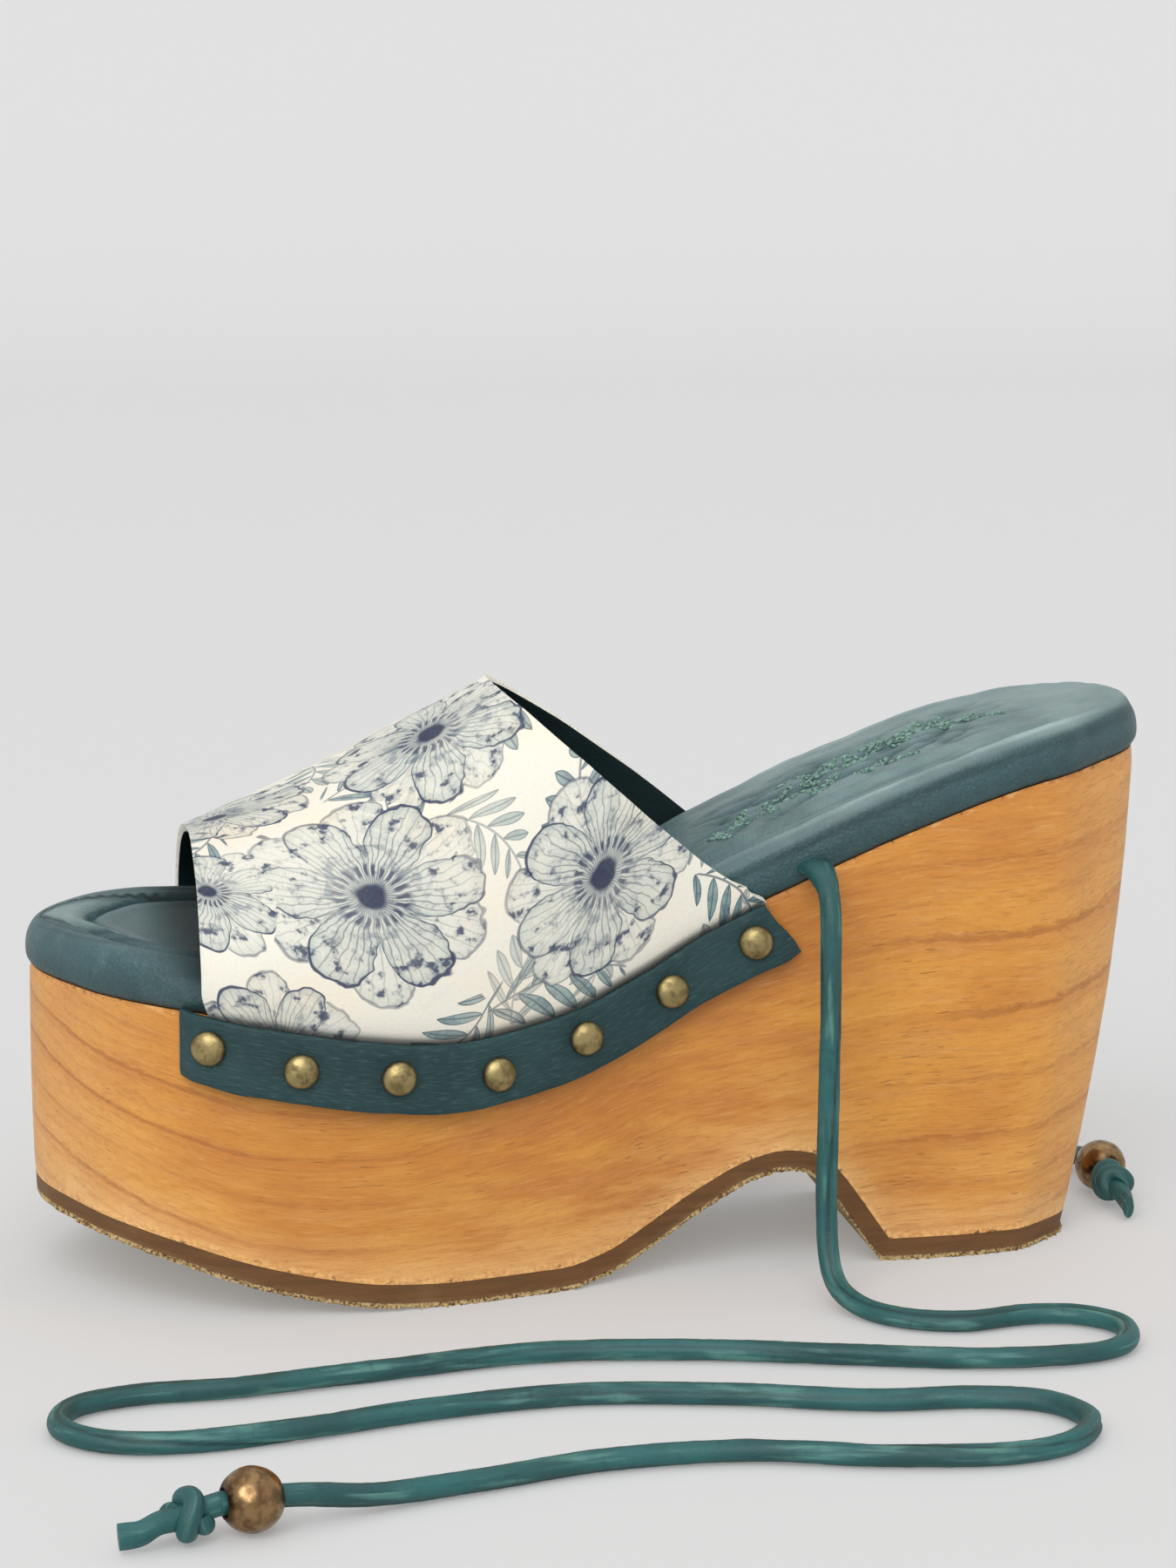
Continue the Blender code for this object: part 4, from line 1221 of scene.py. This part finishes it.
class CLOG_OT_beads(bpy.types.Operator):
    """Round bored beads in antique bronze, one near the end of each tie"""

    bl_idname = "clog.beads"
    bl_label = "Beads"

    def execute(self, context):
        tone = context.scene.clog_colours.bronze
        tarnish = linear(62, 44, 30)
        metal = metal_finish("antique bronze", tone, tarnish, gloss=0.2, dents=0.05)
        bore = TIE_THICK / 2 + GAP
        limit = acos((bore + 0.35) / BEAD_RADIUS)
        arc = [limit * (2 * i / 26 - 1) for i in range(27)]
        face = [(BEAD_RADIUS * cos(a), BEAD_RADIUS * sin(a)) for a in arc]
        end = BEAD_RADIUS * sin(limit) - BEAD_BEVEL
        for side, side_name in SIDES.items():
            bm = turned([(bore, -end), *face, (bore, end)], steps=48)
            for vert in bm.verts:
                point = vert.co / MM
                dent = 0.12 * grain(point.x / 3.2, point.y / 3.2, point.z / 3.2 + side)
                if hypot(point.x, point.y) > bore + 0.6:
                    vert.co *= 1 + dent / BEAD_RADIUS
            mark(bm, "rub", lambda point: smooth_step(hypot(point.x, point.y), 3.0, 4.6))
            last, heading = tie_end(side)
            set_along(bm, last - heading * (BEAD_RADIUS + GAP), heading)
            name = f"bead_{side_name}"
            finished(f"{name}_ball", bm, [metal], replaces=[name], sharp=40)
        return {"FINISHED"}


class CLOG_OT_knots(bpy.types.Operator):
    """Overhand knots that stop the beads, each with its cut tail"""

    bl_idname = "clog.knots"
    bl_label = "Knots"

    def execute(self, context):
        leather = tie_finish(context.scene.clog_colours)
        tilt = sin(radians(KNOT_TILT))
        for side, side_name in SIDES.items():
            bm = bmesh.new()
            for points, radius, flat in self.strands(side):
                total = runs_along(points)[-1]

                def section(run, angle):
                    tail = flat * smooth_step(run, total - 7.0, total - 1.5)
                    swell = radius * (1 + 0.05 * grain(run / 3, cos(angle), side))
                    aside = swell * cos(angle) * (1 + 0.22 * tail)
                    return aside, swell * sin(angle) * (1 - 0.4 * tail)

                strand = mesh_from("strand", tube(points, 18, section, (0, 1, 0.2)))
                bm.from_mesh(strand)
                bpy.data.meshes.remove(strand)
            mark(bm, "crease", lambda point: 0.0)
            last, heading = tie_end(side)
            heading.z = -tilt
            set_along(bm, last + heading * (GAP + TIE_THICK / 2 * tilt), heading.normalized())
            name = f"knot_{side_name}"
            finished(f"{name}_wraps", bm, [leather], replaces=[name], sharp=60)
        return {"FINISHED"}

    def strands(self, side):
        """(line, radius, flattened tail) of the cord through the knot and of the turn round it."""
        through = [
            (0, 0, -1.2), (0, 0, 1.0), (0.3 * side, 0.3, 4.0), (-0.4 * side, -0.1, 7.0),
            (0.5, 0.3, 10.5), (1.0, -0.2, 14.0), (0.6, 0.2, 18.0),
        ]
        turn = []
        for i in range(17):
            share = i / 16
            angle = side * (0.4 + share * 1.55 * 2 * pi)
            sink = smooth_step(min(share, 1 - share), 0.0, 0.12)
            reach = 1.2 + 1.75 * sink
            climb = 2.3 + 4.8 * share + 0.9 * sin(2 * angle * side + 0.6)
            turn.append((reach * cos(angle), reach * sin(angle), climb))
        return (smooth_route(through, 0.5), 2.12, 1.0), (smooth_route(turn, 0.5), 1.95, 0.0)


# ---------------------------------------------------------------- the wooden platform
class CLOG_OT_wood_block(bpy.types.Operator):
    """Platform and heel in one block of wood, with its edges eased"""

    bl_idname = "clog.wood_block"
    bl_label = "Wood block"

    def execute(self, context):
        scene = context.scene
        under = sheet_profile(pitch=2.0, share=1, extra=0.08)
        columns = around([i / 30 for i in range(31)], over=5, under=5)

        def wall(side, s, low, share):
            top = wood_top(s)
            height = low + share * (top - low)
            eased = 0.12 * exp(-(height - low) / 0.4) + 0.35 * exp(-(top - height) / 0.5)
            hand = 0.16 * grain(s / 17, side * 3 + height / 13) * min(1, (height - low) / 4)
            return wall_point(s, side, height, hand * clear_of_ends(s) - eased)

        def place(i, j):
            s, low = under[i]
            station, y, height = across(columns[j], wall, s, low)
            return world(station, y, height), (s, height - low)

        bm = close_up(shaped_grid(len(under) - 1, len(columns) - 1, place))
        sole = curve_through(*zip(*under))
        mark(bm, "above_sole", lambda point: point.z - sole(LENGTH / 2 - point.x))
        mark(bm, "below_top", lambda point: wood_top(LENGTH / 2 - point.x) - point.z)
        finish = wood_finish(scene.clog_colours, scene.clog_sizes)
        finished("platform", bm, [finish], replaces=["wood_block"], sharp=60)
        return {"FINISHED"}


class CLOG_OT_outsole(bpy.types.Operator):
    """Tread sheet bent under the whole sole, with a ragged lower edge"""

    bl_idname = "clog.outsole"
    bl_label = "Outsole"

    def execute(self, context):
        scene = context.scene
        fringe = scene.clog_sizes.fringe
        shares = (0, 0.06, 0.12, 0.2, 0.3, 0.45, 0.65, 0.85, 1.0)
        profiles = [sheet_profile(pitch=0.55, share=share) for share in shares]
        columns = around(range(len(shares)), over=14, under=14)

        def edge(side, i, k):
            s, z = profiles[k][i]
            low = max(1 - shares[k] / 0.3, 0.0)
            torn = max(grain(s * 0.75, side * 7, shares[k] * 6) * 0.8 + 0.35, 0)
            torn += 0.7 * max(grain(s * 1.9, side * 3, shares[k] * 9), 0)
            torn += 0.6 * max(grain(s * 4.3, side * 5, 1), 0)
            wear = 0.12 * grain(s / 6, side * 5, 2)
            lift = 0.35 * low * max(grain(s * 1.4, side * 11, 4), 0)
            out = (fringe * torn * low**0.6 * 1.3 + wear) * clear_of_ends(s) - 0.1
            station, y, height = wall_point(s, side, z, out)
            return station, y, height + lift * clear_of_ends(s)

        def place(i, j):
            share, k = columns[j]
            station, y, height = across(columns[j], edge, i)
            if k == 0 and 0 < share < 1:
                height += 0.25 * max(grain(station / 2.5, y / 2.5), 0)
            return world(station, y, height), (station, height)

        bm = close_up(shaped_grid(len(profiles[0]) - 1, len(columns) - 1, place))
        sole = curve_through(*zip(*profiles[0]))

        def crumb(point):
            return smooth_step(point.z - sole(LENGTH / 2 - point.x), 1.5, 0.5)

        mark(bm, "crumb", crumb)
        finish = tread_finish(scene.clog_colours)
        finished("tread_sheet", bm, [finish], replaces=["outsole"], sharp=50)
        return {"FINISHED"}


# ---------------------------------------------------------------- the footbed
rim_out = by_row(FOOTBED_RIM, "out")
rim_height = by_row(FOOTBED_RIM, "height")
RIM_CELLS, MIDDLE_CELLS, UNDER_CELLS = 66, 72, 6
SEAM_OUT = -11.3
# The sprig's stems: the stations each runs between, how far aside it lies and how much it bows.
SPRIG_STEMS = ((30, 96, -1.0, 4.0), (40, 82, 7.5, 2.5), (52, 100, -9.0, 2.5))
STEM_STEP, LEAF_STEP = 2.1, 5.2


def toe_share(station):
    """1 where the footbed has its stitched toe panel, 0 where it is flat at the heel."""
    return smooth_step(station, 150, 190)


def stitched_part(station, aside):
    """1 where the sprig is stitched on the heel, fading round it."""
    return exp(-(((station - 66) / 34) ** 4) - (((aside - 1) / 17) ** 4))


def puckers(station, aside):
    """0 along the sharp creases that stitching pulls into leather, rising to 1 between them."""
    long = abs(grain(station / 12 + aside / 18, aside / 4.2, 1.5))
    short = abs(grain(station / 4.2 - aside / 8, aside / 4.4, 6.5))
    return min(2.2 * long, 1.0) ** 0.7 * 0.75 + min(2.2 * short, 1.0) ** 0.7 * 0.25


def stitch_pull(sizes, station):
    """1 at each stitch of the toe's seam and 0 midway to the next."""
    return 0.5 + 0.5 * cos(2 * pi * station / sizes.seam_pitch)


def crease_drift(station):
    """How far the toe's long creases wander sideways."""
    return 0.5 * grain(station / 16, 3)


def toe_relief(sizes, station, aside, out):
    """Stitched seam, the raised panel inside it and the long creases outside it."""
    groove = hump(out, SEAM_OUT, 0.95)
    seam = -sizes.seam_depth * groove * (0.75 + 0.35 * stitch_pull(sizes, station))
    panel = 0.55 * hump(out, SEAM_OUT - 3.4, 2.2) - 0.5 * smooth_step(-out, 11.3, 15.0)
    streaks = 0.2 * grain(station / 24, out / 1.5, 6 + aside * 0.02)
    drift = crease_drift(station)
    creases = 1.2 * hump(out, -9.9 + drift, 0.8) - 1.6 * hump(out, -8.2 + drift, 0.6)
    creases += 1.1 * hump(out, -6.4 + drift, 0.9) - 1.1 * hump(out, -4.4 - drift, 0.6)
    return seam + panel + (streaks + creases * smooth_step(-aside, -2, 14))


def heel_relief(sizes, station, aside, out):
    """Padded middle, the rubbed corner with the fold beside it, soft folds and the puckers."""
    fill = 1.45 * smooth_step(-out, 6.0, 12.5)
    near = smooth_step(-aside, -6, 8)
    corner = 0.7 * hump(out, -3.9 + 0.3 * grain(station / 19, 4), 0.8) - 0.9 * hump(out, -7.2, 1.8)
    sway = 1.6 * grain(station / 30, 7)
    valley = -1.1 * hump(out, -11.6 + sway, 1.5) + 0.9 * hump(out, -14.6 + sway, 1.7)
    valley *= smooth_step(station, 30, 58)
    edge = near * smooth_step(station, 6, 40) * (corner + valley)
    crown = 0.8 * max(1 - (aside / 28) ** 2, 0.0)
    folds = grain(station / 26, out / 2.4, 3 + aside * 0.004) * smooth_step(out, -19, -9) * near
    soft = 0.4 * grain(station / 17, aside / 12, 5) + 0.2 * grain(station / 5, aside / 4, 8)
    pucker = stitched_part(station, aside) * (puckers(station, aside) * 2.4 - 1.1)
    return fill + edge + crown + sizes.rim_folds * folds + soft + pucker


def footbed_relief(sizes, station, aside, out, height):
    """What seams, folds and puckers add to the height of the footbed's smooth top."""
    toe = toe_share(station)
    relief = toe * toe_relief(sizes, station, aside, out)
    relief += (1 - toe) * heel_relief(sizes, station, aside, out)
    roll = 0.2 * grain(station / 11, height / 6, 2 + aside * 0.01)
    return smooth_step(height, 8.0, 10.0) * relief + roll


def rim_point(side, station, q):
    """(station, across, out, height) on the smooth footbed at a row of the rim's table."""
    out, height = rim_out(q), rim_height(q)
    square = (1 - toe_share(station)) * hump(q, 6.0, 0.85) * smooth_step(station, 6, 48)
    out, height = out + 1.1 * square, height + 0.15 * square
    end = smooth_step(1 - min(station, LENGTH - station) / FOOTBED_END)
    drawn_in = FOOTBED_DRAWN_IN * end * (height / FOOTBED_HEIGHT) ** 2
    tuck = 0.35 * grain(station / 2.3, side * 9, height / 7) * smooth_step(height, 6.0, 1.0)
    tuck += 0.25 * grain(station / 9, side * 4, height / 5)
    tuck *= clear_of_ends(station) if q > 1 else 0
    return *side_point(station, side, out - drawn_in + tuck), out, height


def parted(point):
    """(station, distance from the middle, distance out of the outline, height) of a point."""
    station = min(max(LENGTH / 2 - point.x, 0.0), LENGTH)
    aside = point.y + SIDE_SHIFT - centre_line(station)
    out = abs(aside) - sqrt(half_width_squared(station))
    return station, aside, out, point.z - wood_top(station)


def shade(sizes, point):
    """Painted shade in the seam, the creases, the tucks and low on the side, and painted shadow where
    the band shelters the toe.
    """
    s, aside, out, height = parted(point)
    toe, pull, drift = toe_share(s), stitch_pull(sizes, s), crease_drift(s)
    creased = stitched_part(s, aside) * smooth_step(puckers(s, aside), 0.5, 0.05)
    creased *= smooth_step(height, 8.5, 9.5) * (1 - toe)
    under_corner = hump(height, 8.4, 1.5) * smooth_step(out, -3.0, -1.5) * (1 - toe)
    far = smooth_step(aside, -12, 8)
    seam = hump(out, SEAM_OUT + far * (0.3 + 1.0 * pull), 0.6 + 0.6 * pull) * (0.6 + 0.4 * far)
    along = 0.5 * hump(out, -8.2 + drift, 0.7) + 0.3 * hump(out, -4.4 - drift, 0.6)
    seam += along * smooth_step(-aside, -2, 14)
    painted_shade_low_down = smooth_step(height, 1.3, 0.2) + 0.4 * smooth_step(height, 7.0, 2.0)
    sheltered = smooth_step(s, 225, 211) * smooth_step(height, 4, 9)
    dark = 0.65 * painted_shade_low_down + 0.85 * creased + 0.35 * under_corner + toe * (seam + sheltered)
    return min(dark, 1.0)


def wear_and_painted_sheen(point):
    """Wear and painted sheen on the heel's top, a painted highlight along its corner, and painted
    light on the toe's inner panel.
    """
    s, aside, out, height = parted(point)
    toe = toe_share(s)
    line = hump(out, -3.3, 0.7) * smooth_step(s, 4, 24)
    smooth = smooth_step(puckers(s, aside), 0.4, 1.0)
    gathered = stitched_part(s, aside) * (0.95 - 0.75 * smooth)
    inner = 1 - 0.7 * smooth_step(s, 66, 102)
    heel = (1 - 0.85 * toe) * (0.75 + 0.6 * line) * (1 - gathered) * inner
    panel = 0.7 * toe * smooth_step(-out, 12.0, 15.0) * smooth_step(s, 213, 227)
    return smooth_step(height, 9.4, 11.2) * (heel + panel)


class CLOG_OT_footbed(bpy.types.Operator):
    """Padded footbed wrapped in leather, with a stitched toe seam and a stitched sprig"""

    bl_idname = "clog.footbed"
    bl_label = "Footbed"

    def execute(self, context):
        sizes, colours = context.scene.clog_sizes, context.scene.clog_colours
        stations = outline_stations(340)
        rows = len(FOOTBED_RIM) - 1
        rim = [rows * i / RIM_CELLS for i in range(RIM_CELLS + 1)]
        columns = around(rim, MIDDLE_CELLS, UNDER_CELLS)

        def place(i, j):
            station, y, out, height = across(columns[j], rim_point, stations[i])
            if columns[j][1] > 2:
                height += footbed_relief(sizes, station, y - centre_line(station), out, height)
            return world(station, y, wood_top(station) + height), (station, y + 60)

        bm = close_up(shaped_grid(len(stations) - 1, len(columns) - 1, place))
        mark(bm, "shade", lambda point: shade(sizes, point))
        mark(bm, "wear_and_painted_sheen", wear_and_painted_sheen)
        surface = BVHTree.FromBMesh(bm)
        leather = [footbed_finish(colours)]
        pad = finished("footbed_leather", bm, leather, replaces=["footbed"])
        thread = [thread_finish(colours)]
        bm = self.sprig(sizes.thread, surface)
        finished("footbed_sprig", bm, thread, sharp=180)
        return {"FINISHED"}

    def sprig(self, thick, surface):
        """Generic stitched sprig on the heel: three waving stems with paired leaves."""
        lines = []
        for first, last, aside, bow in SPRIG_STEMS:

            def stem(s, aside=aside, bow=bow):
                return bow * sin((s - 20) / 15 + aside) + aside

            steps = [first + STEM_STEP * i for i in range(round((last - first) / STEM_STEP))]
            lines.append([(s, stem(s)) for s in steps])
            for i in range(round((last - first) / LEAF_STEP)):
                s = first + 4 + LEAF_STEP * i
                flip = 1 if i % 2 else -1
                reach = 6.8 - 0.3 * abs(i - 4)
                for lift in (-0.24, 0.0, 0.24):
                    leaf = []
                    for k in range(6):
                        lean = 0.7 + lift * 2.2 * (1 - k / 5)
                        step = reach * k / 5
                        leaf.append((s - step * cos(lean), stem(s) + flip * step * sin(lean)))
                    lines.append(leaf)

        bm = bmesh.new()
        for line in lines:
            for a, b in zip(line, line[1:]):
                a, b = (self.drop(surface, *end) for end in (a, b))
                turn = (b - a).to_track_quat("X", "Z").to_matrix().to_4x4()
                shape = Matrix.Diagonal(((b - a).length * 0.56, thick * 0.62, thick * 0.6, 1))
                move = Matrix.Translation((a + b) / 2 + Vector((0, 0, thick * 0.12)))
                bmesh.ops.create_icosphere(
                    bm, subdivisions=1, radius=1, matrix=Matrix.Scale(MM, 4) @ move @ turn @ shape
                )
        return bm

    def drop(self, surface, station, aside):
        """Point of the footbed's top, in millimetres, under a place in plan."""
        above = world(station, aside + centre_line(station), wood_top(station) + 30)
        return surface.ray_cast(above, Vector((0, 0, -1)))[0] / MM


# ---------------------------------------------------------------- the upper
hem_height = by_row(UPPER_HEM, "height")
hem_out = by_row(UPPER_HEM, "out")
HEM_CELLS, ARCH_CELLS, BAND_ROWS = 14, 96, 84
BAND_COLUMNS = 2 * HEM_CELLS + ARCH_CELLS


def upper_section(station, turn, out=0.0):
    """Inside face of the upper over the foot: turn runs from 0, lateral, to pi, medial."""
    side = LATERAL if turn < pi / 2 else MEDIAL
    across_share = abs(cos(turn)) ** (2 / UPPER_ROUNDNESS)
    rise_share = max(sin(turn), 0.0) ** (2 / UPPER_FULLNESS)
    foot = side_point(station, side, UPPER_SPRING.out + out)
    crown = Vector((station, centre_line(station) + INSTEP_SHIFT))
    plan = crown.lerp(foot, across_share)
    spring = wood_top(station) + UPPER_SPRING.height
    height = spring + rise_share * (crown_height(station) - UPPER_WALL - spring + out)
    return plan.x, plan.y, height


def band_spot(i, j):
    """(station, turn over the foot, or None, side and row of the hem's table) of a corner."""
    if HEM_CELLS <= j <= HEM_CELLS + ARCH_CELLS:
        turn = pi * (j - HEM_CELLS) / ARCH_CELLS
        side = LATERAL if turn < pi / 2 else MEDIAL
        rise = max(sin(turn), 0.0) ** THROAT_SWEEP[side]
        back = THROAT_RIM[side] + (THROAT_CROWN - THROAT_RIM[side]) * rise
        return back + (UPPER_FRONT - back) * i / BAND_ROWS, turn, side, None
    side = LATERAL if j < HEM_CELLS else MEDIAL
    q = (len(UPPER_HEM) - 1) * min(j, BAND_COLUMNS - j) / HEM_CELLS
    height = hem_height(q)
    back = THROAT_LOW + (THROAT_RIM[side] - THROAT_LOW) * smooth_step(height / UPPER_SPRING.height)
    front = UPPER_FRONT - UPPER_CUT_BACK * smooth_step(height, UPPER_SPRING.height, 0.5)
    return back + (front - back) * i / BAND_ROWS, None, side, q


class CLOG_OT_upper(bpy.types.Operator):
    """Wide leather band over the foot, printed outside and lined inside"""

    bl_idname = "clog.upper"
    bl_label = "Upper"

    def execute(self, context):
        sizes, colours = context.scene.clog_sizes, context.scene.clog_colours

        def point_at(i, j):
            s, turn, side, q = band_spot(i, j)
            if turn is None:
                return world(*wall_point(s, side, wood_top(s) + hem_height(q), hem_out(q)))
            wave = max(grain(s / 30, turn * 1.6, 4) + 0.3, 0.0)
            wave += 0.35 * max(grain(s / 9, turn * 5, 2), 0.0)
            free = smooth_step(sin(turn), 0.05, 0.4)
            return world(*upper_section(s, turn, sizes.leather_waves * free * wave))

        grid = [[point_at(i, j) for j in range(BAND_COLUMNS + 1)] for i in range(BAND_ROWS + 1)]
        arcs = [runs_along(row, MM) for row in grid]

        def place(i, j):
            return grid[i][j], (band_spot(i, j)[0], arcs[i][j])

        bm = shaped_grid(BAND_ROWS, BAND_COLUMNS, place)
        turn_out(bm, Vector((0, 0, 1)))
        give_wall(bm, UPPER_WALL, round_edge=0.45)

        def painted_shade_low_down(point):
            """Painted shadow: a dark line where the band comes out from under its strip."""
            return smooth_step(point.z - wood_top(LENGTH / 2 - point.x), 2.4, 0.6)

        mark(bm, "painted_shade_low_down", painted_shade_low_down)
        edge = cut_edge_finish("cream edge", colours.ivory, darkest=0.8)
        materials = [print_finish(colours, sizes), lining_finish(), edge]
        finished("upper_band", bm, materials, replaces=["upper"])
        return {"FINISHED"}


# ---------------------------------------------------------------- strips and nails
def strip_lift(station):
    """How far the strip's inside face stands off the wood, with the upper's hem under it."""
    behind = (station - STRIP_BACK_LOW) / STRIP_BACK_TURN
    ahead = (STRIP_FRONT - station) / STRIP_FRONT_TURN
    return GAP + (UPPER_WALL + 2 * GAP) * smooth_step(min(behind, ahead))


def strip_point(share_along, share_down, side, out=0.0):
    """World point on the strip's inside face, moved `out` millimetres outwards, and its
    (station, drop below the wood's top). The front corner rises to meet the footbed."""
    back = STRIP_BACK_TOP + (STRIP_BACK_LOW - STRIP_BACK_TOP) * share_down
    station = back + (STRIP_FRONT - back) * share_along
    narrowed = (station - STRIP_NARROWS_FROM) / (STRIP_FRONT - STRIP_NARROWS_FROM)
    width = STRIP_WIDTH - STRIP_NARROWING * smooth_step(narrowed)
    into = max(share_down * width - width + STRIP_CORNER, 0.0)
    ahead = max(station - STRIP_FRONT + STRIP_CORNER, 0.0)
    station -= ahead / STRIP_CORNER * (STRIP_CORNER - sqrt(max(STRIP_CORNER**2 - into**2, 0.0)))
    drop = width * share_down + 0.12 * grain(station / 8, share_down, side) * (1 - 2 * share_down)
    raised = STRIP_CORNER_RISE * smooth_step(share_along, 0.88, 1.0) * (1 - share_down)
    height = wood_top(station) - drop + raised
    place = wall_point(station, side, height, strip_lift(station) + out)
    return world(*place), (station, drop)


class CLOG_OT_strips(bpy.types.Operator):
    """Leather strips that clamp the hem of the upper to the wood, with raw cut edges"""

    bl_idname = "clog.strips"
    bl_label = "Side strips"

    def execute(self, context):
        colours = context.scene.clog_colours
        face = strip_finish(colours)
        raw = cut_edge_finish("strip edge", colours.strip, darkest=0.45)
        alongs, downs = 170, 12
        for side, side_name in SIDES.items():

            def place(i, j, side=side):
                along, down = i / alongs, j / downs
                _, (station, drop) = strip_point(along, down, side)
                nearest = min(hypot(station - n.station, drop - n.drop) for n in NAILS)
                edge = smooth_step(min(down, 1 - down, along * 6, (1 - along) * 6), 0.0, 0.12)
                pillow = 0.22 * smooth_step(nearest, 3.5, 7.0) * edge
                pillow += 0.07 * edge * grain(station / 4, drop / 4, side)
                return strip_point(along, down, side, max(pillow, 0.0))

            bm = shaped_grid(alongs, downs, place)
            turn_out(bm, Vector((0, side, 0)))
            give_wall(bm, STRIP_WALL, round_edge=0.3)
            name = f"strip_{side_name}"
            leathers = [face, face, raw]
            finished(f"{name}_leather", bm, leathers, replaces=[name])
        return {"FINISHED"}


class CLOG_OT_nails(bpy.types.Operator):
    """Domed nail heads in antique brass along both strips"""

    bl_idname = "clog.nails"
    bl_label = "Nails"

    def execute(self, context):
        tone = context.scene.clog_colours.brass
        tarnish = linear(82, 72, 48)
        brass = metal_finish("antique brass", tone, tarnish, gloss=0.40, dents=0.12)
        arc = [pi / 2 * i / 9 for i in range(9)]
        dome = [(NAIL_RADIUS * cos(t), NAIL_LIP + (NAIL_RISE - NAIL_LIP) * sin(t)) for t in arc]
        foot = [(0, -NAIL_LIP), (NAIL_RADIUS - 0.3, -NAIL_LIP), (NAIL_RADIUS, -0.05)]
        for side, side_name in SIDES.items():
            for number, nail in enumerate(NAILS, start=1):
                bm = turned([*foot, *dome, (0, NAIL_RISE)], steps=36)
                for vert in bm.verts:
                    point = vert.co / MM
                    dent = 0.16 * grain(point.x / 1.7, point.y / 1.7, nail.station + side)
                    vert.co.z += dent * MM * smooth_step(point.z, 0.2, 1.4)
                mark(bm, "rub", lambda point: smooth_step(point.z, 0.1, 1.3))
                along, aside = outward(nail.station, side)
                out = strip_lift(nail.station) + STRIP_WALL + NAIL_GAP
                seat = wall_point(nail.station, side, wood_top(nail.station) - nail.drop, out)
                set_along(bm, world(*seat) / MM, Vector((-along, aside, 0)))
                name = f"nail_{side_name}_{number}"
                finished(f"{name}_head", bm, [brass], replaces=[name])
        return {"FINISHED"}


# ---------------------------------------------------------------- the add-on
OPERATORS = (
    CLOG_OT_stage, CLOG_OT_beads, CLOG_OT_knots, CLOG_OT_ties, CLOG_OT_wood_block, CLOG_OT_outsole,
    CLOG_OT_footbed, CLOG_OT_upper, CLOG_OT_strips, CLOG_OT_nails,
)


class CLOG_PT_pieces(bpy.types.Panel):
    """Lists the clog's pieces, its sizes and its colours"""

    bl_idname = "CLOG_PT_pieces"
    bl_label = "Platform clog"
    bl_space_type = "VIEW_3D"
    bl_region_type = "UI"
    bl_category = "Clog"

    def draw(self, context):
        for cls in OPERATORS:
            self.layout.operator(cls.bl_idname)
        for group in (context.scene.clog_sizes, context.scene.clog_colours):
            for name in group.bl_rna.properties.keys():
                if name not in ("rna_type", "name"):
                    self.layout.prop(group, name)


CLASSES = (ClogSizes, ClogColours, *OPERATORS, CLOG_PT_pieces)


def register():
    for cls in CLASSES:
        bpy.utils.register_class(cls)
    bpy.types.Scene.clog_sizes = bpy.props.PointerProperty(type=ClogSizes)
    bpy.types.Scene.clog_colours = bpy.props.PointerProperty(type=ClogColours)


def unregister():
    del bpy.types.Scene.clog_colours
    del bpy.types.Scene.clog_sizes
    for cls in reversed(CLASSES):
        bpy.utils.unregister_class(cls)


def main():
    register()
    bpy.ops.clog.stage()
    bpy.ops.clog.beads()
    bpy.ops.clog.knots()
    bpy.ops.clog.ties()
    bpy.ops.clog.wood_block()
    bpy.ops.clog.outsole()
    bpy.ops.clog.footbed()
    bpy.ops.clog.upper()
    bpy.ops.clog.strips()
    bpy.ops.clog.nails()


if __name__ == "__main__":
    main()
